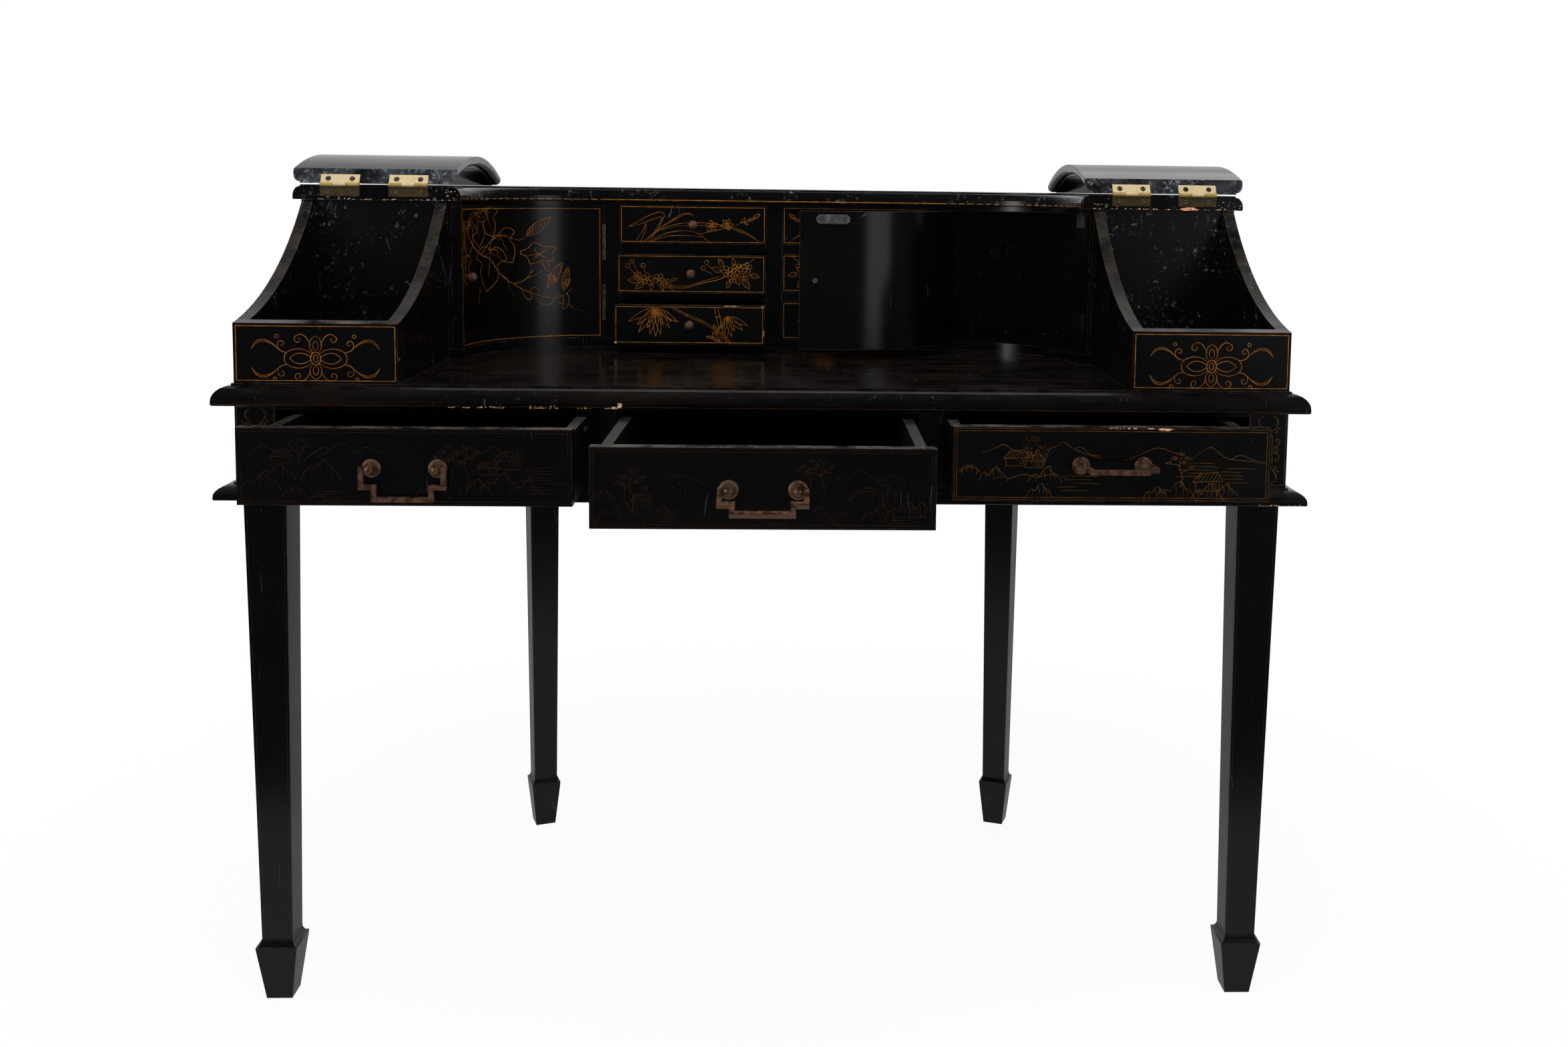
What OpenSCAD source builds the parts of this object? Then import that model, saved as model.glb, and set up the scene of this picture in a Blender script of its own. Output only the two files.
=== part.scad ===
// Carlton house desk: a D-shaped writing table with three frieze drawers,
// and on top a gallery with six small drawers, two concave cupboard doors
// and two sloping bins under hinged lids.
// Millimetres, +Z up, the front faces -Y. The rest pose is half open:
// drawers pulled out, the right door open and both lids folded back.

/* [Overall] */
// Width of the body over its side panels
body_w = 1270; // [1230:10:1500]
// Depth of the body from the drawer fronts to the back
body_d = 600; // [590:5:700]
// Height of the writing surface above the floor
desk_h = 775; // [700:5:820]
// Height of the gallery above the writing surface
gallery_h = 235; // [225:1:260]
// Radius of the two rounded rear corners in plan
rear_corner_r = 330; // [320:5:340]

/* [Top and mouldings] */
// Thickness of the desk top
top_t = 25; // [20:1:32]
// Overhang of the desk top and of the base moulding
top_over = 21; // [14:1:24]

/* [Frieze] */
// Height of the frieze between desk top and legs
frieze_h = 113; // [105:1:140]
// Thickness of the bottom rail, the runners and the base moulding
rail_t = 19; // [15:1:24]
// Thickness of the rail over the drawers
top_rail_t = 6; // [5:0.5:9]
// Depth of the bottom front rail
rail_d = 60; // [50:5:90]
// Clear width of the middle drawer's opening
centre_open = 366; // [340:2:400]
// Width of the two dividers beside the middle drawer
divider_t = 32; // [24:1:36]
// Thickness of the side panels
side_t = 18; // [14:1:22]
// Thickness of the curved back of the frieze
frieze_back_t = 15; // [12:1:18]
// Thickness of a frieze drawer's front
front_t = 17; // [14:1:20]
// Thickness of the drawer sides and backs
box_side_t = 12; // [8:1:14]
// Thickness of the drawer bottoms
box_bottom_t = 5; // [4:1:8]
// Depth of the two side drawers, front included
side_drawer_d = 442; // [380:1:442]
// Depth of the middle drawer, front included
centre_drawer_d = 537; // [450:1:560]

/* [Legs] */
// Width of a front leg's block beside the drawers
leg_block_w = 48.5; // [44:0.5:52]
// Depth of a front leg's block
leg_block_d = 54.5; // [50:0.5:60]
// Side of a front leg under the frieze
front_leg_top = 51; // [46:0.5:54]
// Side of a front leg above its foot
front_leg_low = 37.6; // [32:0.2:42]
// Side of a rear leg under the frieze
rear_leg_top = 46; // [42:0.5:48]
// Side of a rear leg above its foot
rear_leg_low = 35; // [30:0.5:38]
// Turn of the rear legs towards the middle, degrees
rear_leg_turn = 20; // [0:1:20]
// Height of the spade feet
foot_h = 67; // [50:1:80]
// Height of the collar between foot and leg
collar_h = 12; // [8:1:16]

/* [Bins and lids] */
// Width of a bin over its walls
bin_w = 194; // [190:1:200]
// Thickness of the bin walls
bin_wall_t = 15; // [12:1:18]
// Height of a bin's front
bin_front_h = 72; // [60:1:84]
// Radius of the hollow sweep along a bin's top edge
sweep_r = 470; // [450:5:520]
// Thickness of a lid
lid_t = 16; // [14:1:18]
// Overhang of a lid beside its bin
lid_over = 13; // [10:1:14]
// Overhang of a lid in front of its bin
lid_nose = 6; // [4:1:10]

/* [Gallery] */
// Thickness of the gallery's top board
board_t = 20; // [18:1:22]
// Overhang of the top board
board_over = 12; // [8:1:14]
// Thickness of the gallery's floor
floor_t = 13; // [10:1:16]
// Thickness of the gallery's back
back_t = 12; // [10:1:14]
// Radius of the doors' hollow face
door_r = 172; // [165:1:180]
// Thickness of the doors
door_t = 14; // [12:1:16]
// Thickness of the uprights beside and between the small drawers
upright_t = 23; // [18:1:26]
// Thickness of the shelves between the small drawers
shelf_t = 13.6; // [10:0.2:16]
// Height of the curved rail over a door
door_rail_t = 7.5; // [6:0.5:10]
// Thickness of a small drawer's front
small_front_t = 12; // [10:1:14]
// Thickness of a small drawer's sides
small_side_t = 8; // [6:1:10]

/* [Pulls and hinges] */
// Distance between the two posts of a drawer pull
post_span = 73; // [66:1:90]
// Height of the posts above the drawer front's lower edge
post_rise = 42.5; // [38:0.5:50]
// Diameter of a pull's rosette
rosette_d = 21; // [18:1:24]
// Thickness of a pull's square bail
bail_t = 5.6; // [4:0.2:6]
// Distance from the bail's pivot to its lower bar
bail_drop = 33.2; // [28:0.2:36]
// Diameter of the turned knobs
knob_d = 14; // [11:0.5:15]
// Length of a hinge
hinge_w = 52; // [40:1:56]
// Radius of a hinge's knuckles
knuckle_r = 2.8; // [2.4:0.1:2.9]
// Thickness of a hinge's leaves
leaf_t = 1.2; // [1:0.1:1.2]

/* [Rest pose] */
// How far the left frieze drawer is pulled out
pull_left = 136; // [0:1:300]
// How far the middle frieze drawer is pulled out
pull_centre = 245; // [0:1:330]
// How far the right frieze drawer is pulled out
pull_right = 92; // [0:1:300]
// How far the three small left drawers are pulled out, top to bottom
pull_small = [12, 45, 85];
// How far the right door is open, degrees
door_open = 106; // [0:1:106]
// How far the middle pull's bail is swung out, degrees
bail_centre = 57; // [0:1:90]
// How far the right pull's bail is swung out, degrees
bail_right = 90; // [0:1:90]

/* [Hidden] */
$fn = 72;
// clearances: beside, under and over a drawer, of a pin, and at a butt
side_gap = 0.5;
under_gap = 0.6;
glide_gap = 0.3;
over_gap = 0.4;
pin_gap = 0.05;
butt_gap = 1;
knuckle_gap = 0.3;
lid_gap = 0.3;

// legs: inset from the corner, place on the rear corners, feet, collar
leg_inset = 6.5;
rear_leg_inset = 29.3;
rear_leg_a = 78.5;
front_foot_top = 50;
front_foot_low = 31.5;
rear_foot_top = 44;
rear_foot_low = 30;
foot_rim = 3;

// body
half = body_w / 2;
corner_x = half - rear_corner_r;
corner_y = body_d - rear_corner_r;
under_top = desk_h - top_t;
base_z = under_top - frieze_h;
open_z0 = base_z + rail_t;
open_z1 = under_top - top_rail_t;
block_x = half - leg_block_w;
divider_x0 = centre_open / 2;
divider_x1 = divider_x0 + divider_t;

// frieze drawers and their runners
side_box_inset = 24;
guide_t = 8;
side_guide_t = 12;
guide_h = 24;
runner_reach = 23;
side_runner_w = 26;
box_drop = 4;
bottom_rise = 3;
bottom_inset = 6;
front_z0 = open_z0 + under_gap;
front_z1 = open_z1 - over_gap;
box_z0 = open_z0 + glide_gap;
box_z1 = front_z1 - box_drop;
side_x0 = divider_x1 + side_gap;
side_x1 = block_x - side_gap;
side_box_x0 = side_x0 + side_gap;
side_box_x1 = side_x1 - side_box_inset;
centre_box_x = divider_x0 - side_gap - guide_t;
side_mid = (side_x0 + side_x1) / 2;

// gallery and small drawers
door_end_gap = 5;
small_back_gap = 6;
small_drop = 5;
small_bottom_t = 4;
small_bottom_rise = 2;
small_bottom_inset = 3;
knob_shank_r = 2;
small_shank = 10;
deck_z = desk_h;
board_z1 = deck_z + gallery_h;
board_z0 = board_z1 - board_t;
floor_z = deck_z + floor_t;
bin_x0 = half - bin_w;
door_x = bin_x0 - door_end_gap - door_t - door_r;
door_y = corner_y;
face_y = door_y + door_r;
inner_back_y = body_d - back_t;
small_x0 = upright_t / 2;
small_x1 = door_x - upright_t;
small_rail_t = 4.1;
back_joint = 0.1;
small_open_h = (board_z0 - floor_z - small_rail_t - 2 * shelf_t) / 3;
small_pitch = small_open_h + shelf_t;
small_h = small_open_h - glide_gap - under_gap;
small_d = inner_back_y - face_y - small_back_gap;
small_mid = (small_x0 + small_x1) / 2;

// bins and lids
hinge_set = 4;
bin_back_t = 12;
hinge_y = corner_y - hinge_set;
bin_back_y = corner_y + bin_back_t;
lid_mid = half - bin_w / 2;
lid_half = bin_w / 2 + lid_over;
lid_edge = 12;
p0 = [0, deck_z + bin_front_h];
q0 = [hinge_y, board_z1];
show_r = sweep_r - lid_t;
under_r = sweep_r - lid_gap;
pq = norm(q0 - p0);
along = (sweep_r * sweep_r - show_r * show_r + pq * pq) / (2 * pq);
across = sqrt(sweep_r * sweep_r - along * along);
pu = (q0 - p0) / pq;
sweep_c = p0 + along * pu + across * [-pu[1], pu[0]];
lid_h = under_r - show_r;
nose_a = -acos((-lid_nose - sweep_c[0]) / under_r);
lid_proud = 0.6;
lid_axis = [hinge_y - butt_gap / 2, board_z1 + lid_proud];

// doors
door_z0 = floor_z + 0.5;
door_z1 = board_z0 - door_rail_t - 0.5;
door_mid_z = (door_z0 + door_z1) / 2;
door_back_r = door_r + door_t;
door_proud = 3;
door_axis = [door_x + butt_gap / 2, face_y - door_proud];
knob_a = 7;
knob_foot_r = 4.6;
knob_foot_t = 1.6;
knob_neck_r = 3;
knob_out = 9;
screw_head_r = 3.8;
screw_head_t = 1.2;
strike_a = 14.5;
stop_d = 16;
stop_gap = 0.5;
strike_t = 1.2;
strike_drop = 11;
strike_half = 17;
strike_end_r = 6.5;
catch_gap = 2.2;
catch_t = 12;
catch_half = 13;
catch_h = 27;

// hinges
pin_r = 1.2;
leaf_sink = 0.8;
knuckle_w = hinge_w / 3;
lid_hinge_x = 45.7;
door_hinge_z = 44.5;
lid_leaf = 15;
door_leaf = 11;

// pulls
pull_z = front_z0 + post_rise;
pivot_out = 11;
head_r = 5.5;
post_x = post_span / 2;
arm_x = post_x + head_r + 0.5 + bail_t / 2;
bail_step = 19.3;
bail_narrow = 13.7;
bail_top = 3.6;
bail_low_x = arm_x - bail_narrow;
pull_pin_r = 2;
pin_hole_d = 3;
rosette_t = 2.5;
rosette_rim = 0.8;
stem_r = 4;
shank_r = 2.5;
nut_r = 6;
nut_t = 3;

// front to back extent at rest, which puts the frame in the middle
bail_half = bail_t / 2;
tip_c = (bail_drop + bail_half) * sin(bail_centre) + bail_half * cos(bail_centre);
tip_r = (bail_drop + bail_half) * sin(bail_right) + bail_half * cos(bail_right);
front_most = max(pull_centre + pivot_out + tip_c, pull_right + pivot_out + tip_r, top_over);
frame_y = (body_d + top_over - front_most) / 2;

// thumb moulding: widest near its flat bottom, a small step at the top
function thumb_curve(w, h) = concat(
    [[w - 0.06 * h, 0], [w, 0.06 * h], [w, 0.22 * h]],
    [for (k = [1 : 6]) [w * (0.15 + 0.85 * cos(15 * k)), h * (0.22 + 0.68 * sin(15 * k))]],
    [[0.12 * w, 0.9 * h], [0.12 * w, h]]
);
function thumb(w, h, back) = concat([[-back, 0]], thumb_curve(w, h), [[-back, h]]);

// nose of a lid in the plane of the sweep, seen from the sweep's centre
nose = [for (p = thumb_curve(lid_edge, lid_h))
    let (r = under_r - p[1], a = nose_a + (lid_edge - p[0]) / r * 180 / PI)
    [r * cos(a), r * sin(a)]];

// a lid is open when its nose rests just above the board's top
function seen(p) = [sweep_c[0] + p[0] - lid_axis[0], sweep_c[1] + p[1] - lid_axis[1]];
function rest_turn(q) = 360 + atan2(q[1], q[0]) + asin((lid_axis[1] - board_z1 - lid_gap) / norm(q));
lid_open = min([for (p = nose) rest_turn(seen(p))]);

lacquer = "#26221e";
inner_wood = "#6e4b2c";
metal = "#b08d4a";
bright = "#c9c4b8";

// shared shapes

module in_frame() {
    translate([0, -frame_y, 0])
        children();
}

module both_sides() {
    children();
    mirror([1, 0, 0])
        children();
}

module block(x0, x1, y0, y1, z0, z1) {
    translate([x0, y0, z0])
        cube([x1 - x0, y1 - y0, z1 - z0]);
}

// the D-shaped plan of the body, grown by e
module plan(e, z0, z1) {
    block(-half - e, half + e, -e, corner_y, z0, z1);
    block(-corner_x, corner_x, corner_y - 1, body_d + e, z0, z1);
    intersection() {
        for (s = [-1, 1])
            translate([s * corner_x, corner_y, z0])
                cylinder(r = rear_corner_r + e, h = z1 - z0);
        block(-half - e - 1, half + e + 1, corner_y, body_d + e + 1, z0, z1);
    }
}

// moulding strips: along X, along Y and round a quarter turn
module run_x(pts, x0, x1, y, z, out) {
    translate([x0, y, z])
        rotate([90, 0, 90])
            linear_extrude(height = x1 - x0)
                polygon([for (p = pts) [out * p[0], p[1]]]);
}

module run_y(pts, x, y0, y1, z, out) {
    translate([x, y1, z])
        rotate([90, 0, 0])
            linear_extrude(height = y1 - y0)
                polygon([for (p = pts) [out * p[0], p[1]]]);
}

module turn(pts, x, y, r, z, out) {
    translate([x, y, z])
        rotate_extrude(angle = 90)
            polygon([for (p = pts) [r + out * p[0], p[1]]]);
}

module edge_all_round(pts, over, z) {
    run_x(pts, -half, half, 0, z, -1);
    run_x(pts, -corner_x, corner_x, body_d, z, 1);
    both_sides() {
        run_y(pts, half, 0, corner_y, z, 1);
        turn(pts, corner_x, corner_y, rear_corner_r, z, 1);
        intersection() {
            run_x(pts, half - 1, half + over + 1, 0, z, -1);
            run_y(pts, half, -over - 1, 1, z, 1);
        }
    }
}

// square frustum centred on Z, from side a at z0 to side b at z1
module frustum(a, b, z0, z1) {
    polyhedron(
        points = [
            [-a / 2, -a / 2, z0], [a / 2, -a / 2, z0], [a / 2, a / 2, z0], [-a / 2, a / 2, z0],
            [-b / 2, -b / 2, z1], [b / 2, -b / 2, z1], [b / 2, b / 2, z1], [-b / 2, b / 2, z1]
        ],
        faces = [
            [0, 1, 2, 3], [4, 7, 6, 5], [0, 4, 5, 1],
            [1, 5, 6, 2], [2, 6, 7, 3], [3, 7, 4, 0]
        ]
    );
}

// tapered leg on a spade foot with a hollow collar
module leg(top, low, foot_top, foot_low) {
    cz = foot_h + foot_rim;
    step = (collar_h - foot_rim) / 3;
    lip = foot_top - low - 4;
    frustum(foot_low, foot_top, 0, foot_h);
    frustum(foot_top, foot_top, foot_h, cz);
    frustum(low + lip, low + 0.45 * lip, cz, cz + step);
    frustum(low + 0.45 * lip, low + 0.12 * lip, cz + step, cz + 2 * step);
    frustum(low + 0.12 * lip, low, cz + 2 * step, cz + 3 * step);
    frustum(low, top, cz + 3 * step, base_z);
}

// hinge along X round its pin; the fixed side is +Y, the moving side -Y,
// the two faces stand butt_gap apart and their outer edge is proud below
module fixed_leaf(len, proud) {
    y0 = butt_gap / 2 + leaf_sink - leaf_t;
    difference() {
        union() {
            block(-hinge_w / 2, hinge_w / 2, y0, y0 + leaf_t, -proud - len, 0);
            for (s = [-1, 1])
                translate([s * knuckle_w - knuckle_w / 2, 0, 0])
                    rotate([0, 90, 0])
                        cylinder(r = knuckle_r, h = knuckle_w);
        }
        translate([-knuckle_w / 2, 0, 0])
            rotate([0, 90, 0])
                cylinder(r = knuckle_r + knuckle_gap, h = knuckle_w);
    }
    translate([-hinge_w / 2, 0, 0])
        rotate([0, 90, 0])
            cylinder(r = pin_r, h = hinge_w);
}

module moving_leaf(len, proud) {
    y1 = -(butt_gap / 2 + leaf_sink - leaf_t);
    w = knuckle_w - 2 * knuckle_gap;
    difference() {
        union() {
            block(-hinge_w / 2, hinge_w / 2, y1 - leaf_t, y1, -proud - len, 0);
            translate([-w / 2, 0, 0])
                rotate([0, 90, 0])
                    cylinder(r = knuckle_r, h = w);
        }
        translate([w / 2, 0, 0])
            rotate([0, 90, 0])
                cylinder(r = knuckle_r + knuckle_gap, h = hinge_w);
        translate([-w / 2 - hinge_w, 0, 0])
            rotate([0, 90, 0])
                cylinder(r = knuckle_r + knuckle_gap, h = hinge_w);
        translate([-hinge_w, 0, 0])
            rotate([0, 90, 0])
                cylinder(r = pin_r + pin_gap, h = 2 * hinge_w);
    }
}

// room for the hinge in the two faces it joins, side +1 fixed, -1 moving
module hinge_room(len, proud, side) {
    y0 = side > 0 ? butt_gap / 2 - 1 : -butt_gap / 2 - leaf_sink;
    block(-hinge_w / 2, hinge_w / 2, y0, y0 + 1 + leaf_sink, -proud - len, knuckle_r);
    translate([-hinge_w / 2 - knuckle_gap, 0, 0])
        rotate([0, 90, 0])
            cylinder(r = knuckle_r + knuckle_gap, h = hinge_w + 2 * knuckle_gap);
}

module at_lid_hinges() {
    for (s = [-1, 1])
        translate([lid_mid + s * lid_hinge_x, lid_axis[0], lid_axis[1]])
            children();
}

module at_door_hinges() {
    for (s = [-1, 1])
        translate([door_axis[0], door_axis[1], door_mid_z + s * door_hinge_z])
            rotate([0, -90, 90])
                children();
}

module lid_folded() {
    translate([0, lid_axis[0], lid_axis[1]])
        rotate([-lid_open, 0, 0])
            translate([0, -lid_axis[0], -lid_axis[1]])
                children();
}

module door_swung(a) {
    translate([door_axis[0], door_axis[1], 0])
        rotate([0, 0, -a])
            translate([-door_axis[0], -door_axis[1], 0])
                children();
}

// curved slab round a door's centre between two radii
module door_ring(r0, r1, z0, z1) {
    translate([door_x, door_y, z0])
        intersection() {
            difference() {
                cylinder(r = r1, h = z1 - z0);
                translate([0, 0, -1])
                    cylinder(r = r0, h = z1 - z0 + 2);
            }
            block(0, r1 + 1, 0, r1 + 1, 0, z1 - z0);
        }
}

// turned knob on a face at z = 0 with its shank behind
module knob(shank) {
    cylinder(r = knob_foot_r, h = knob_foot_t);
    cylinder(r = knob_neck_r, h = knob_out);
    translate([0, 0, knob_out])
        sphere(r = knob_d / 2);
    translate([0, 0, -shank])
        cylinder(r = knob_shank_r, h = shank + 1);
}

// carcase

module desk_top() {
    color(lacquer) in_frame() {
        plan(0, under_top, desk_h);
        edge_all_round(thumb(top_over, top_t, 2), top_over, under_top);
    }
}

module base_moulding() {
    color(lacquer) in_frame()
        edge_all_round(thumb(top_over, rail_t, 0), top_over, base_z);
}

module front_leg() {
    block(block_x, half, 0, leg_block_d, base_z, under_top);
    translate([half - leg_inset - front_leg_top / 2, leg_block_d - front_leg_top / 2, 0])
        leg(front_leg_top, front_leg_low, front_foot_top, front_foot_low);
}

module front_leg_right() {
    color(lacquer) in_frame()
        front_leg();
}

module front_leg_left() {
    color(lacquer) in_frame()
        mirror([1, 0, 0])
            front_leg();
}

module rear_leg() {
    d = rear_corner_r - frieze_back_t - rear_leg_inset;
    translate([corner_x + d * cos(rear_leg_a), corner_y + d * sin(rear_leg_a), 0])
        rotate([0, 0, -rear_leg_turn]) {
            frustum(rear_leg_top, rear_leg_top, base_z, under_top);
            leg(rear_leg_top, rear_leg_low, rear_foot_top, rear_foot_low);
        }
}

module rear_leg_right() {
    color(lacquer) in_frame()
        rear_leg();
}

module rear_leg_left() {
    color(lacquer) in_frame()
        mirror([1, 0, 0])
            rear_leg();
}

module frieze_sides() {
    color(lacquer) in_frame()
        both_sides()
            block(half - side_t, half, leg_block_d, corner_y, base_z, under_top);
}

module curved_back(t, z0, z1) {
    difference() {
        intersection() {
            plan(0, z0, z1);
            block(-half - 1, half + 1, corner_y, body_d + 1, z0, z1);
        }
        plan(-t, z0 - 1, z1 + 1);
    }
}

module frieze_back() {
    color(lacquer) in_frame()
        curved_back(frieze_back_t, base_z, under_top);
}

module front_rails() {
    color(lacquer) in_frame() {
        block(-block_x, block_x, 0, rail_d, base_z, open_z0);
        block(-divider_x0, divider_x0, 0, front_t, open_z1, under_top);
        both_sides()
            block(divider_x1, block_x, 0, front_t, open_z1, under_top);
    }
}

module drawer_dividers() {
    color(lacquer) in_frame()
        both_sides()
            block(divider_x0, divider_x1, 0, body_d - frieze_back_t, open_z0, under_top);
}

// flat runners under the drawer sides with the guides beside them
module drawer_runners() {
    gz = open_z0 + guide_h;
    back_y = body_d - frieze_back_t;
    color(inner_wood) in_frame()
        both_sides() {
            block(divider_x0 - runner_reach, divider_x1 + runner_reach, rail_d, back_y, base_z, open_z0);
            block(centre_box_x + side_gap, divider_x0, rail_d, back_y, open_z0 - 1, gz);
            intersection() {
                plan(-frieze_back_t, base_z, gz);
                union() {
                    block(side_box_x1 - side_runner_w, half - side_t, rail_d, body_d, base_z, open_z0);
                    block(side_box_x1 + side_gap, side_box_x1 + side_guide_t, rail_d, body_d,
                          open_z0 - 1, gz);
                }
            }
        }
}

module gallery_floor() {
    color(lacquer) in_frame()
        difference() {
            intersection() {
                plan(-back_t, deck_z, floor_z);
                block(-half, half, hinge_y, body_d, deck_z, floor_z);
            }
            both_sides() {
                block(bin_x0, half + 1, hinge_y - 1, bin_back_y, deck_z - 1, floor_z + 1);
                translate([door_x, door_y, deck_z - 1])
                    cylinder(r = door_r, h = floor_t + 2);
                block(-1, door_x + door_r, hinge_y - 1, door_y, deck_z - 1, floor_z + 1);
                block(-1, door_x, hinge_y - 1, face_y, deck_z - 1, floor_z + 1);
            }
        }
}

// top board: a D-shaped ring cut off flat at the lids' hinges
module gallery_top() {
    pts = thumb(board_over, board_t, 2);
    rim_y = door_y - board_over;
    rim_r = door_r + board_over;
    color(lacquer) in_frame()
        difference() {
            union() {
                difference() {
                    plan(0, board_z0, board_z1);
                    both_sides() {
                        translate([door_x, rim_y, board_z0 - 1])
                            cylinder(r = rim_r, h = board_t + 2);
                        block(-1, door_x, -1, rim_y + rim_r, board_z0 - 1, board_z1 + 1);
                    }
                }
                run_x(pts, -corner_x, corner_x, body_d, board_z0, 1);
                run_x(pts, -door_x, door_x, rim_y + rim_r, board_z0, -1);
                both_sides() {
                    run_y(pts, half, hinge_y - 5, corner_y, board_z0, 1);
                    turn(pts, corner_x, corner_y, rear_corner_r, board_z0, 1);
                    turn(pts, door_x, rim_y, rim_r, board_z0, -1);
                }
            }
            block(-half - 30, half + 30, -30, hinge_y, board_z0 - 1, board_z1 + 1);
            both_sides()
                at_lid_hinges()
                    hinge_room(lid_leaf, lid_proud, 1);
        }
}

// straight back and two bent corners, with a hairline joint between them
module gallery_back() {
    color(lacquer) in_frame()
        difference() {
            curved_back(back_t, deck_z, board_z0);
            both_sides()
                block(corner_x, corner_x + back_joint, corner_y, body_d + 1, deck_z - 1, board_z0 + 1);
        }
}

// everything above a bin's swept edge, in front of the board
module above_sweep() {
    intersection() {
        translate([-half - 1, sweep_c[0], sweep_c[1]])
            rotate([0, 90, 0])
                cylinder(r = sweep_r, h = body_w + 2);
        block(-half - 1, half + 1, -1, hinge_y, deck_z, board_z1);
    }
}

module bin_outer_walls() {
    color(lacquer) in_frame()
        difference() {
            both_sides()
                block(half - bin_wall_t, half, bin_wall_t, corner_y, deck_z, board_z0);
            above_sweep();
        }
}

module bin_inner_walls() {
    color(lacquer) in_frame()
        difference() {
            both_sides()
                block(bin_x0, bin_x0 + bin_wall_t, bin_wall_t, bin_back_y, deck_z, board_z0);
            above_sweep();
        }
}

module bin_fronts() {
    color(lacquer) in_frame()
        difference() {
            both_sides()
                block(bin_x0, half, 0, bin_wall_t, deck_z, deck_z + bin_front_h + 20);
            above_sweep();
        }
}

module bin_backs() {
    color(lacquer) in_frame()
        both_sides()
            intersection() {
                block(bin_x0 + bin_wall_t, half, corner_y, bin_back_y, deck_z, board_z0);
                plan(-back_t, deck_z, board_z0);
            }
}

module gallery_uprights() {
    color(lacquer) in_frame() {
        block(-small_x0, small_x0, face_y, inner_back_y, floor_z, board_z0);
        both_sides()
            difference() {
                block(small_x1, door_x, face_y, inner_back_y, floor_z, board_z0);
                at_door_hinges()
                    hinge_room(door_leaf, door_proud, 1);
            }
    }
}

module gallery_shelves() {
    top_z = board_z0 - small_rail_t;
    color(lacquer) in_frame()
        both_sides() {
            for (k = [1, 2])
                block(small_x0, small_x1, face_y, inner_back_y,
                    floor_z + k * small_pitch - shelf_t, floor_z + k * small_pitch);
            block(small_x0, small_x1, face_y, face_y + small_front_t, top_z, board_z0);
        }
}

// curved rails over the doors, and upright strips that their free ends meet
module door_frames() {
    color(lacquer) in_frame()
        both_sides() {
            door_ring(door_r, door_back_r, board_z0 - door_rail_t, board_z0);
            difference() {
                block(bin_x0 - door_t, bin_x0, door_y + 1, door_y + stop_d, floor_z, board_z0 - door_rail_t);
                translate([door_x, door_y, floor_z - 1])
                    cylinder(r = door_back_r + stop_gap, h = gallery_h);
            }
        }
}

module lid_hinge_board_leaves() {
    color(metal) in_frame()
        both_sides()
            at_lid_hinges()
                fixed_leaf(lid_leaf, lid_proud);
}

module door_hinge_upright_leaves() {
    color(metal) in_frame()
        both_sides()
            at_door_hinges()
                fixed_leaf(door_leaf, door_proud);
}

// catch blocks under the board behind the doors' strike plates
module door_catches() {
    color(metal) in_frame()
        both_sides()
            translate([door_x, door_y, 0])
                rotate([0, 0, strike_a])
                    block(door_back_r + catch_gap, door_back_r + catch_gap + catch_t,
                        -catch_half, catch_half, board_z0 - catch_h, board_z0);
}

// lids, drawn shut and then folded back

module lid_shut() {
    side = [for (p = thumb_curve(lid_edge, lid_h)) [under_r - p[1], lid_half - lid_edge + p[0]]];
    n = len(side) - 1;
    other = [for (k = [n : -1 : 0]) [side[k][0], -side[k][1]]];
    end_y = hinge_y - butt_gap - sweep_c[0];
    tail = nose[len(nose) - 1];
    clip = concat(
        [nose[0] * (under_r + 20) / under_r],
        nose,
        [tail * (show_r - 20) / show_r, [end_y, -200], [end_y, -under_r - 20]]
    );
    difference() {
        translate([lid_mid, sweep_c[0], sweep_c[1]])
            rotate([90, 0, 90])
                intersection() {
                    rotate([0, 0, nose_a - 3])
                        rotate_extrude(angle = 50)
                            polygon(concat(side, other));
                    translate([0, 0, -lid_half - 1])
                        linear_extrude(height = 2 * lid_half + 2)
                            polygon(clip);
                }
        at_lid_hinges()
            hinge_room(lid_leaf, lid_proud, -1);
    }
}

module lid_right() {
    color(lacquer) in_frame()
        lid_folded()
            lid_shut();
}

module lid_left() {
    color(lacquer) in_frame()
        mirror([1, 0, 0])
            lid_folded()
                lid_shut();
}

module lid_leaves() {
    lid_folded()
        at_lid_hinges()
            moving_leaf(lid_leaf, lid_proud);
}

module lid_hinge_leaves_right() {
    color(bright) in_frame()
        lid_leaves();
}

module lid_hinge_leaves_left() {
    color(bright) in_frame()
        mirror([1, 0, 0])
            lid_leaves();
}

// doors, drawn shut on the right side

module at_knob() {
    translate([door_x, door_y, door_mid_z])
        rotate([0, 0, knob_a])
            translate([door_r, 0, 0])
                rotate([0, -90, 0])
                    children();
}

module door_shut() {
    difference() {
        door_ring(door_r, door_back_r, door_z0, door_z1);
        block(door_x - 1, door_x + butt_gap, door_y, face_y + 30, door_z0 - 1, door_z1 + 1);
        at_door_hinges()
            hinge_room(door_leaf, door_proud, -1);
        at_knob()
            translate([0, 0, -door_t - 1])
                cylinder(r = knob_shank_r, h = door_t + 2);
    }
}

module door_right() {
    color(lacquer) in_frame()
        door_swung(door_open)
            door_shut();
}

module door_left() {
    color(lacquer) in_frame()
        mirror([1, 0, 0])
            door_shut();
}

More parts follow.
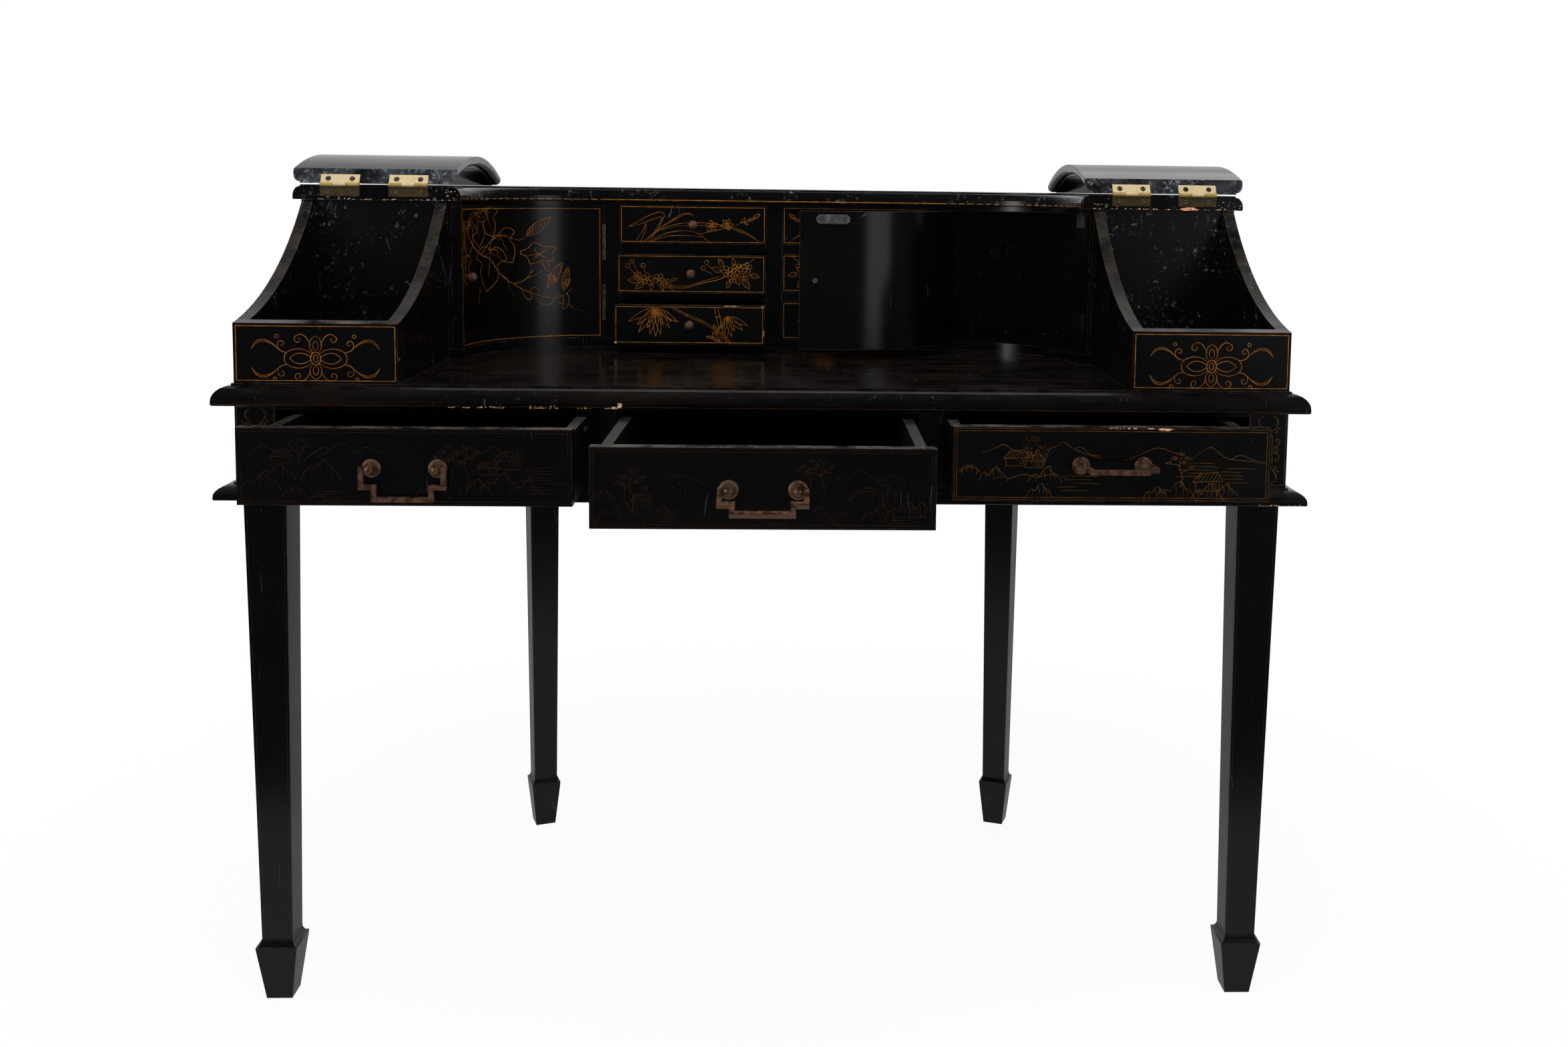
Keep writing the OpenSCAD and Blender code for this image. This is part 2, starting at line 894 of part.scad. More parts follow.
// the knob's foot follows the hollow face, its screw shows on the back
module door_knob() {
    intersection() {
        at_knob()
            translate([0, 0, -1])
                knob(0);
        translate([door_x, door_y, 0])
            cylinder(r = door_r, h = board_z1);
    }
    at_knob() {
        translate([0, 0, -door_t])
            cylinder(r = knob_shank_r, h = door_t + 1);
        translate([0, 0, -door_t - screw_head_t])
            cylinder(r = screw_head_r, h = screw_head_t);
    }
}

module door_knob_right() {
    color(metal) in_frame()
        door_swung(door_open)
            door_knob();
}

module door_knob_left() {
    color(metal) in_frame()
        mirror([1, 0, 0])
            door_knob();
}

module door_leaves() {
    at_door_hinges()
        moving_leaf(door_leaf, door_proud);
}

module door_hinge_leaves_right() {
    color(metal) in_frame()
        door_swung(door_open)
            door_leaves();
}

module door_hinge_leaves_left() {
    color(metal) in_frame()
        mirror([1, 0, 0])
            door_leaves();
}

// oblong plate with round ends, bent round the door's back
module strike_plate() {
    z = door_z1 - strike_drop;
    intersection() {
        door_ring(door_back_r, door_back_r + strike_t, z - strike_end_r - 1, z + strike_end_r + 1);
        translate([door_x, door_y, z])
            rotate([0, 0, strike_a])
                union() {
                    block(door_r, door_back_r + door_t, -strike_half, strike_half,
                          -strike_end_r, strike_end_r);
                    for (s = [-1, 1])
                        translate([door_r, s * strike_half, 0])
                            rotate([0, 90, 0])
                                cylinder(r = strike_end_r, h = 2 * door_t);
                }
    }
}

module strike_plate_right() {
    color(bright) in_frame()
        door_swung(door_open)
            strike_plate();
}

module strike_plate_left() {
    color(bright) in_frame()
        mirror([1, 0, 0])
            strike_plate();
}

// frieze drawers

module pull_holes(mid) {
    for (s = [-1, 1])
        translate([mid + s * post_x, -1, pull_z])
            rotate([-90, 0, 0])
                cylinder(r = 2.5, h = front_t + 2);
}

module drawer_front(x0, x1, out) {
    translate([0, -out, 0])
        difference() {
            block(x0, x1, 0, front_t, front_z0, front_z1);
            pull_holes((x0 + x1) / 2);
        }
}

module drawer_box(x0, x1, y1, out) {
    translate([0, -out, 0]) {
        block(x0, x0 + box_side_t, front_t, y1, box_z0, box_z1);
        block(x1 - box_side_t, x1, front_t, y1, box_z0, box_z1);
        block(x0 + 1, x1 - 1, y1 - box_side_t, y1, box_z0, box_z1);
        block(x0 + bottom_inset, x1 - bottom_inset, front_t, y1 - 1,
            box_z0 + bottom_rise, box_z0 + bottom_rise + box_bottom_t);
    }
}

// turned post: rosette, stem and ball, seen in half section
post_profile = concat(
    [
        [0, 0], [rosette_d / 2, 0], [rosette_d / 2, rosette_rim],
        [rosette_d / 2 - 2.4, rosette_t], [stem_r, rosette_t]
    ],
    [for (a = [-43 : 8 : 85]) [head_r * cos(a), pivot_out + head_r * sin(a)]],
    [[0, pivot_out + head_r]]
);

module pull_posts(mid, out) {
    for (s = [-1, 1])
        translate([mid + s * post_x, -out, pull_z]) {
            difference() {
                rotate([90, 0, 0])
                    rotate_extrude()
                        polygon(post_profile);
                translate([0, -pivot_out, 0])
                    rotate([0, s * 90, 0])
                        translate([0, 0, -pin_hole_d])
                            cylinder(r = pull_pin_r + pin_gap, h = head_r + pin_hole_d + 1);
            }
            rotate([-90, 0, 0])
                cylinder(r = shank_r, h = front_t + nut_t + 1);
            translate([0, front_t, 0])
                rotate([-90, 0, 0])
                    difference() {
                        cylinder(r = nut_r, h = nut_t);
                        translate([0, 0, -1])
                            cylinder(r = shank_r, h = nut_t + 2);
                    }
        }
}

// square bail with stepped arms, hanging from its pivot line
module bail_shape() {
    h = bail_half;
    both_sides() {
        translate([post_x - 2.5, 0, 0])
            rotate([0, 90, 0])
                cylinder(r = pull_pin_r, h = arm_x - post_x + 2.5);
        block(arm_x - h, arm_x + h, -h, h, -bail_step - h, bail_top);
        block(bail_low_x - h, arm_x + h, -h, h, -bail_step - h, -bail_step + h);
        block(bail_low_x - h, bail_low_x + h, -h, h, -bail_drop - h, -bail_step + h);
    }
    block(-bail_low_x, bail_low_x, -h, h, -bail_drop - h, -bail_drop + h);
}

module pull_bail(mid, out, swing) {
    translate([mid, -out - pivot_out, pull_z])
        rotate([-swing, 0, 0])
            bail_shape();
}

module drawer_front_left() {
    color(lacquer) in_frame()
        drawer_front(-side_x1, -side_x0, pull_left);
}

module drawer_front_centre() {
    color(lacquer) in_frame()
        drawer_front(side_gap - divider_x0, divider_x0 - side_gap, pull_centre);
}

module drawer_front_right() {
    color(lacquer) in_frame()
        drawer_front(side_x0, side_x1, pull_right);
}

module drawer_box_left() {
    color(inner_wood) in_frame()
        drawer_box(-side_box_x1, -side_box_x0, side_drawer_d, pull_left);
}

module drawer_box_centre() {
    color(inner_wood) in_frame()
        drawer_box(-centre_box_x, centre_box_x, centre_drawer_d, pull_centre);
}

module drawer_box_right() {
    color(inner_wood) in_frame()
        drawer_box(side_box_x0, side_box_x1, side_drawer_d, pull_right);
}

module pull_posts_left() {
    color(metal) in_frame()
        pull_posts(-side_mid, pull_left);
}

module pull_posts_centre() {
    color(metal) in_frame()
        pull_posts(0, pull_centre);
}

module pull_posts_right() {
    color(metal) in_frame()
        pull_posts(side_mid, pull_right);
}

module pull_bail_left() {
    color(metal) in_frame()
        pull_bail(-side_mid, pull_left, 0);
}

module pull_bail_centre() {
    color(metal) in_frame()
        pull_bail(0, pull_centre, bail_centre);
}

module pull_bail_right() {
    color(metal) in_frame()
        pull_bail(side_mid, pull_right, bail_right);
}

// small drawers; level 0 is the top one

module small_drawer(mid, level, out) {
    w = (small_x1 - small_x0) / 2 - side_gap;
    z0 = floor_z + (2 - level) * small_pitch + glide_gap;
    z1 = z0 + small_h;
    t = small_side_t;
    translate([mid, face_y - out, 0]) {
        difference() {
            block(-w, w, 0, small_front_t, z0, z1);
            translate([0, -1, (z0 + z1) / 2])
                rotate([-90, 0, 0])
                    cylinder(r = knob_shank_r, h = small_shank + 1);
        }
        block(-w, -w + t, small_front_t - 1, small_d, z0, z1 - small_drop);
        block(w - t, w, small_front_t - 1, small_d, z0, z1 - small_drop);
        block(-w + 1, w - 1, small_d - t, small_d, z0, z1 - small_drop);
        block(-w + small_bottom_inset, w - small_bottom_inset, small_front_t - 1, small_d - 1,
            z0 + small_bottom_rise, z0 + small_bottom_rise + small_bottom_t);
    }
}

module small_knob(mid, level, out) {
    z = floor_z + (2 - level) * small_pitch + glide_gap + small_h / 2;
    translate([mid, face_y - out, z])
        rotate([90, 0, 0])
            knob(small_shank);
}

module small_drawer_left_top() {
    color(lacquer) in_frame()
        small_drawer(-small_mid, 0, pull_small[0]);
}

module small_drawer_left_middle() {
    color(lacquer) in_frame()
        small_drawer(-small_mid, 1, pull_small[1]);
}

module small_drawer_left_bottom() {
    color(lacquer) in_frame()
        small_drawer(-small_mid, 2, pull_small[2]);
}

module small_drawer_right_top() {
    color(lacquer) in_frame()
        small_drawer(small_mid, 0, 0);
}

module small_drawer_right_middle() {
    color(lacquer) in_frame()
        small_drawer(small_mid, 1, 0);
}

module small_drawer_right_bottom() {
    color(lacquer) in_frame()
        small_drawer(small_mid, 2, 0);
}

module small_knob_left_top() {
    color(metal) in_frame()
        small_knob(-small_mid, 0, pull_small[0]);
}

module small_knob_left_middle() {
    color(metal) in_frame()
        small_knob(-small_mid, 1, pull_small[1]);
}

module small_knob_left_bottom() {
    color(metal) in_frame()
        small_knob(-small_mid, 2, pull_small[2]);
}

module small_knob_right_top() {
    color(metal) in_frame()
        small_knob(small_mid, 0, 0);
}

module small_knob_right_middle() {
    color(metal) in_frame()
        small_knob(small_mid, 1, 0);
}

module small_knob_right_bottom() {
    color(metal) in_frame()
        small_knob(small_mid, 2, 0);
}

desk_top();
base_moulding();
front_leg_left();
front_leg_right();
rear_leg_left();
rear_leg_right();
frieze_sides();
frieze_back();
front_rails();
drawer_dividers();
drawer_runners();
gallery_floor();
gallery_top();
gallery_back();
bin_outer_walls();
bin_inner_walls();
bin_fronts();
bin_backs();
gallery_uprights();
gallery_shelves();
door_frames();
lid_hinge_board_leaves();
door_hinge_upright_leaves();
door_catches();
lid_left();
lid_right();
lid_hinge_leaves_left();
lid_hinge_leaves_right();
door_left();
door_right();
door_knob_left();
door_knob_right();
door_hinge_leaves_left();
door_hinge_leaves_right();
strike_plate_left();
strike_plate_right();
drawer_front_left();
drawer_box_left();
pull_posts_left();
pull_bail_left();
drawer_front_centre();
drawer_box_centre();
pull_posts_centre();
pull_bail_centre();
drawer_front_right();
drawer_box_right();
pull_posts_right();
pull_bail_right();
small_drawer_left_top();
small_drawer_left_middle();
small_drawer_left_bottom();
small_drawer_right_top();
small_drawer_right_middle();
small_drawer_right_bottom();
small_knob_left_top();
small_knob_left_middle();
small_knob_left_bottom();
small_knob_right_top();
small_knob_right_middle();
small_knob_right_bottom();
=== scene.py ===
"""Dresses the Carlton house desk: black lacquer, gilt ornament, brass, wear and the studio round it."""

import logging
import math
import random
from abc import ABC, abstractmethod
from dataclasses import dataclass, field
from enum import Enum

import bpy
from bpy.types import ID, Material, Mesh, Node, NodeSocket, NodeTree, Object
from mathutils import Matrix, Vector


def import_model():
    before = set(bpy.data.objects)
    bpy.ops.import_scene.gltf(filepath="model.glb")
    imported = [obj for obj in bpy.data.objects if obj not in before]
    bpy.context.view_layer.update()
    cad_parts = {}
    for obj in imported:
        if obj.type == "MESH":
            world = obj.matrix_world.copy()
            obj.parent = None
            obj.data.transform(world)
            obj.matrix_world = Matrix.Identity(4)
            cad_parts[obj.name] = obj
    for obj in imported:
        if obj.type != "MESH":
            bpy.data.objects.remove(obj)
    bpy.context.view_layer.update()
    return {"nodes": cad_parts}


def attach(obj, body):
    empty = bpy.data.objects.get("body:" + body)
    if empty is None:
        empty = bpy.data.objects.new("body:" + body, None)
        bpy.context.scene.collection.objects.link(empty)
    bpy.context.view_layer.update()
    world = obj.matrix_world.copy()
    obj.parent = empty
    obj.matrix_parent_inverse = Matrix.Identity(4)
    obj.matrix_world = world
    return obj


LOG = logging.getLogger("desk")
MM = 0.001
# planes of the CAD frame that the painted and worn places share, in mm
FRONT_Y = -166.641
MOULDING_Y = FRONT_Y - 21.0
BASE_Z = 637.0
TOP_Z = 750.0
BOARD_Z = 990.0
SIDES = (("left", -1), ("right", 1))

Point = tuple[float, float]


# colours and nodes


def linear(code: str) -> tuple[float, float, float, float]:
    """Turns an sRGB hex colour into the linear values that Blender wants.

    Args:
        code: Six hex digits.

    Returns:
        Linear red, green and blue, and 1 for alpha.
    """
    values = [int(code[i : i + 2], 16) / 255 for i in (0, 2, 4)]
    return (*(v / 12.92 if v <= 0.04045 else ((v + 0.055) / 1.055) ** 2.4 for v in values), 1.0)


def add_node(tree: NodeTree, kind: str, sockets: dict | None = None, **settings) -> Node:
    """Adds one node with its settings, and links or sets its inputs.

    Args:
        tree: The node tree that gets the node.
        kind: Blender's type name of the node.
        sockets: Input names or numbers, each with a socket to link or a value to set.
        settings: Properties of the node itself.

    Returns:
        The new node.
    """
    node = tree.nodes.new(kind)
    for name, value in settings.items():
        setattr(node, name, value)
    for name, value in (sockets or {}).items():
        socket = node.inputs[name]
        if isinstance(value, NodeSocket):
            tree.links.new(value, socket)
        else:
            socket.default_value = value
    return node


def output_of(tree: NodeTree, kind: str, sockets: dict, output: int | str = 0, **settings) -> NodeSocket:
    """Adds one node as add_node does and gives one of its outputs."""
    return add_node(tree, kind, sockets, **settings).outputs[output]


def attribute_of(tree: NodeTree, name: str, kind: str) -> NodeSocket:
    """Gives a mesh attribute of a Geometry Nodes tree's input."""
    return output_of(tree, "GeometryNodeInputNamedAttribute", {"Name": name}, "Attribute", data_type=kind)


def linked(name: str, data: ID | None) -> Object:
    """Makes an object of some data and puts it in the scene.

    Args:
        name: The object's name.
        data: Its mesh, lamp or camera.

    Returns:
        The new object.
    """
    made = bpy.data.objects.new(name, data)
    bpy.context.scene.collection.objects.link(made)
    return made


class Mask:
    """Shorthand for the shader nodes that the finishes and the studio are made of."""

    def __init__(self, tree: NodeTree, coordinates: str = "Object") -> None:
        """Empties a tree and keeps its coordinates.

        Args:
            tree: The node tree of a material or world.
            coordinates: Which texture coordinates the noises read.
        """
        tree.nodes.clear()
        self.tree = tree
        self.place = self.add("TexCoord", {}, coordinates)

    def add(self, kind: str, sockets: dict, output: int | str = 0, **settings) -> NodeSocket:
        """Adds one shader node and gives one of its outputs."""
        return output_of(self.tree, "ShaderNode" + kind, sockets, output, **settings)

    def stretched(self, scale: tuple, turn: tuple = (0, 0, 0)) -> NodeSocket:
        """Gives coordinates turned and stretched by a Mapping node."""
        return self.add("Mapping", {"Vector": self.place, "Rotation": turn, "Scale": scale})

    def noise(self, size_mm: float, detail: float = 3.0, rough: float = 0.55, place=None) -> NodeSocket:
        """Gives a noise whose blots measure about size_mm."""
        sockets = {"Scale": 1.0 / (size_mm * MM), "Detail": detail, "Roughness": rough}
        return self.add("TexNoise", {"Vector": place or self.place, **sockets}, "Fac")

    def cells(self, size_mm: float, place=None, **settings) -> NodeSocket:
        """Gives the distance to a cell's middle, or to its edge, in a scatter of cells of size_mm."""
        sockets = {"Vector": place or self.place, "Scale": 1.0 / (size_mm * MM)}
        return self.add("TexVoronoi", sockets, "Distance", **settings)

    def ramp(self, value, low: float, high: float, top: float = 1.0, bottom: float = 0.0) -> NodeSocket:
        """Stretches value so that low gives bottom and high gives top."""
        sockets = {"Value": value, "From Min": low, "From Max": high, "To Min": bottom, "To Max": top}
        return self.add("MapRange", sockets, interpolation_type="SMOOTHSTEP")

    def join(self, how: str, first, *others) -> NodeSocket:
        """Joins values one after another by one operation, held between 0 and 1."""
        for other in others:
            first = self.add("Math", {0: first, 1: other}, operation=how, use_clamp=True)
        return first

    def times(self, *values) -> NodeSocket:
        """Multiplies values."""
        return self.join("MULTIPLY", *values)

    def sum(self, *values) -> NodeSocket:
        """Adds values up."""
        return self.join("ADD", *values)

    def most(self, *values) -> NodeSocket:
        """Gives the largest of the values."""
        return self.join("MAXIMUM", *values)

    def colour(self, amount, under, over) -> NodeSocket:
        """Lays one colour, a socket or a hex code, over another by a mask."""
        under, over = (linear(c) if isinstance(c, str) else c for c in (under, over))
        return self.add("Mix", {"Factor": amount, 6: under, 7: over}, 2, data_type="RGBA")

    def edges(self, width_mm: float) -> NodeSocket:
        """Gives 0 on flat ground and rises towards arrises, within width_mm of them."""
        soft = self.add("Bevel", {"Radius": width_mm * MM}, samples=6)
        true = self.add("NewGeometry", {}, "Normal")
        dot = self.add("VectorMath", {0: soft, 1: true}, "Value", operation="DOT_PRODUCT")
        return self.ramp(self.join("SUBTRACT", 1.0, dot), 0.02, 0.28)

    def facing(self, way: tuple, low: float, high: float) -> NodeSocket:
        """Gives 1 on faces that look along a direction of the object and 0 on the others."""
        normal = self.add("TexCoord", {}, "Normal")
        return self.ramp(self.add("VectorMath", {0: normal, 1: way}, "Value", operation="DOT_PRODUCT"), low, high)

    def above(self, height_mm: float, soft_mm: float = 0.3) -> NodeSocket:
        """Gives 1 above a height of the object and 0 below it."""
        z = self.add("SeparateXYZ", {0: self.place}, "Z")
        return self.ramp(z, (height_mm - soft_mm) * MM, (height_mm + soft_mm) * MM)

    def specks(self, cell_mm: float, size: float) -> NodeSocket:
        """Gives scattered dots, one to a cell, size being their share of it."""
        return self.ramp(self.cells(cell_mm), size, size * 0.6)

    def hairlines(self, pitch_mm: float, turn: tuple) -> NodeSocket:
        """Gives a few fine straight scratches in one direction, pitch_mm apart, wider than real so that they show."""
        lines = self.cells(pitch_mm, self.stretched((1.0, 0.12, 0.12), turn), feature="DISTANCE_TO_EDGE")
        return self.times(self.ramp(lines, 0.007, 0.002), self.ramp(self.noise(60), 0.6, 0.72))

    def scuffs(self, size_mm: float, share: float) -> NodeSocket:
        """Gives pale rubbed flecks in clusters, share being how much of the ground they take."""
        flecks = self.ramp(self.noise(size_mm, 8, 0.75), 0.6 - 0.12 * share, 0.74 - 0.12 * share)
        return self.times(flecks, self.ramp(self.noise(size_mm * 6, 3), 0.55 - 0.25 * share, 0.7 - 0.2 * share))

    def bump(self, height, strength: float, depth_mm: float) -> NodeSocket:
        """Gives the normal of ground that a height raises by depth_mm."""
        return self.add("Bump", {"Height": height, "Strength": strength, "Distance": depth_mm * MM})


@dataclass(frozen=True)
class Finish(ABC):
    """A finish that builds its own material."""

    name: str

    @abstractmethod
    def inputs(self, m: Mask) -> dict:
        """Gives the inputs of the finish's Principled shader by name."""

    def material(self) -> Material:
        """Builds the material.

        Returns:
            The finished material.
        """
        material = bpy.data.materials.new(self.name)
        material.use_nodes = True
        m = Mask(material.node_tree)
        shader = m.add("BsdfPrincipled", self.inputs(m))
        add_node(m.tree, "ShaderNodeOutputMaterial", {"Surface": shader})
        return material


class RubbedAndLit(Enum):
    """Where a lacquered piece turns grey: rubbed by hands and cloths, and on some finishes also painted top light or
    painted sheen.
    """

    NOWHERE = "nowhere"
    UPWARD_FACES = "upward faces"
    ALL_OVER = "all over"


@dataclass(frozen=True)
class Lacquer(Finish):
    """Black lacquer in many coats, rubbed to a gloss; the eye gets deep black with soft, slightly wavy reflections.

    Use has left hairline scratches, dust, and arrises rubbed through to a grey brown.
    """

    ground: str = "060505"
    rubbed_and_lit_colour: str = "47413a"
    edge_colour: str = "6e655a"
    gloss: float = 0.17
    edge_mm: float = 1.3
    edge_amount: float = 0.55
    rubbed: RubbedAndLit = RubbedAndLit.NOWHERE
    rubbed_and_lit_amount: float = 0.5
    streaks: float = 0.0
    dust: float = 0.15
    scuffs: float = 0.0
    # only faces that look this way get the rubbed colour and scuffs; on the lids this is painted sheen as well as wear
    sheen_and_wear_way: tuple[float, float, float] | None = None

    def inputs(self, m: Mask) -> dict:
        """Gives the clouded ground under its streaks, rubbed places, marks and worn arrises; on some finishes the
        rubbed places are painted top light or painted sheen as well as wear.
        """
        sheen_and_wear_face = m.facing(self.sheen_and_wear_way, 0.7, 0.93) if self.sheen_and_wear_way else 1.0
        cloudy = m.noise(160, 3)
        edge = m.times(m.edges(self.edge_mm), m.ramp(m.noise(22, 5, 0.7), 0.36, 0.62), self.edge_amount)
        scratch = m.times(m.hairlines(30, (0.3, 0.5, 0.9)), 0.5)
        if self.scuffs:
            scratch = m.most(scratch, m.times(m.scuffs(7, self.scuffs), sheen_and_wear_face, 0.9))
        dust = m.times(m.specks(7, 0.09), m.ramp(m.noise(60, 2), 0.5, 0.66, self.dust))
        colour = m.colour(m.ramp(cloudy, 0.4, 0.75, 0.5), self.ground, "0d0b09")
        if self.streaks:
            grain = m.noise(30, 4, 0.6, m.stretched((0.09, 1.0, 1.0)))
            colour = m.colour(m.ramp(grain, 0.5, 0.78, self.streaks), colour, "3a2415")
        worn = 0.0
        # the rubbed colour is wear, and on the handled and lid finishes also painted light: painted top light on upward
        # faces, painted sheen on the lids' butt edges
        if self.rubbed is not RubbedAndLit.NOWHERE:
            blots = m.sum(m.times(m.noise(38, 6, 0.65), 0.8), m.times(m.noise(5, 6, 0.7), 0.2))
            up = m.facing((0.0, 0.0, 1.0), 0.25, 0.9) if self.rubbed is RubbedAndLit.UPWARD_FACES else 1.0
            worn = m.times(m.ramp(blots, 0.36, 0.7), up, sheen_and_wear_face, self.rubbed_and_lit_amount)
            colour = m.colour(worn, colour, self.rubbed_and_lit_colour)
        colour = m.colour(m.most(m.times(scratch, 0.6), dust), colour, "9aa0a6")
        dull = m.sum(m.times(edge, 0.4), m.times(worn, 0.45), m.times(scratch, 0.2), m.ramp(cloudy, 0.35, 0.75, 0.09))
        return {
            "Base Color": m.colour(edge, colour, self.edge_colour),
            "Roughness": m.sum(dull, self.gloss),
            "Normal": m.bump(m.times(m.noise(24, 2), 0.6), 0.12, 0.3),
        }


@dataclass(frozen=True)
class GiltPaint(Finish):
    """Bronze powder in size, drawn with a brush; the eye gets warm brown gold lines, thin or rubbed in places."""

    bright: str = "c9842a"
    deep: str = "8f5716"
    rubbed_share: float = 0.35

    def inputs(self, m: Mask) -> dict:
        """Gives a blotched gold that is rubbed through to the black in places."""
        colour = m.colour(m.ramp(m.noise(14, 4), 0.35, 0.65), self.deep, self.bright)
        bare = m.ramp(m.noise(7, 6, 0.75), 0.56, 0.66, self.rubbed_share)
        return {
            "Base Color": m.colour(bare, colour, "1c120a"),
            "Roughness": m.ramp(m.noise(3, 4), 0.2, 0.9, 0.7),
            "Metallic": 0.25,
        }


@dataclass(frozen=True)
class Metal(Finish):
    """Brass or plated steel, cast or rolled and long unpolished; the eye gets a dull glow under a patchy brown skin."""

    clean: str
    tarnish: str
    tarnish_low: float = 0.4
    tarnish_high: float = 0.65
    gloss: float = 0.32
    # a painted highlight: a brighter colour for the metal above a height
    bright: str = ""
    painted_highlight_above: float = 0.0
    bare_share: float = 1.0

    def inputs(self, m: Mask) -> dict:
        """Gives metal under a skin that wears off at the arrises; the brown skin itself is no metal."""
        skin = m.ramp(m.noise(9, 6, 0.65), self.tarnish_low, self.tarnish_high)
        skin = m.join("SUBTRACT", skin, m.times(m.edges(0.7), 0.8))
        colour = m.colour(skin, self.clean, self.tarnish)
        # painted highlight: the metal above the given height gets the brighter colour
        if self.bright:
            colour = m.colour(m.above(self.painted_highlight_above), colour, self.bright)
        return {
            "Base Color": colour,
            "Metallic": m.join("SUBTRACT", self.bare_share, m.times(skin, 0.55 * self.bare_share)),
            "Roughness": m.sum(m.times(skin, 0.22), m.times(m.noise(2, 4), 0.12), self.gloss),
            "Normal": m.bump(m.noise(1.6, 5), 0.2, 0.08),
        }


@dataclass(frozen=True)
class PlainWood(Finish):
    """Sawn and planed secondary wood, never varnished; stained black; the eye gets dull dark grain."""

    light: str = "3b3632"
    dark: str = "1b1917"
    along: tuple[float, float, float] = (1.0, 0.06, 1.0)

    def inputs(self, m: Mask) -> dict:
        """Gives dark grain under a blotched stain."""
        grain = m.noise(5, 6, 0.6, m.stretched(self.along))
        colour = m.colour(m.ramp(grain, 0.3, 0.7), self.dark, self.light)
        return {
            "Base Color": m.colour(m.ramp(m.noise(120, 4), 0.4, 0.75, 0.6), colour, "12100f"),
            "Roughness": 0.6,
            "Normal": m.bump(grain, 0.3, 0.2),
        }


@dataclass(frozen=True)
class BareGround(Finish):
    """The pale ground and wood that a chip lays bare; the eye gets a raw, matt, cream to tan patch."""

    pale: str = "e6c9ac"
    tan: str = "b07a4c"

    def inputs(self, m: Mask) -> dict:
        """Gives a matt ground in blotches of two tones."""
        return {"Base Color": m.colour(m.ramp(m.noise(3, 5, 0.7), 0.4, 0.6), self.tan, self.pale), "Roughness": 0.85}


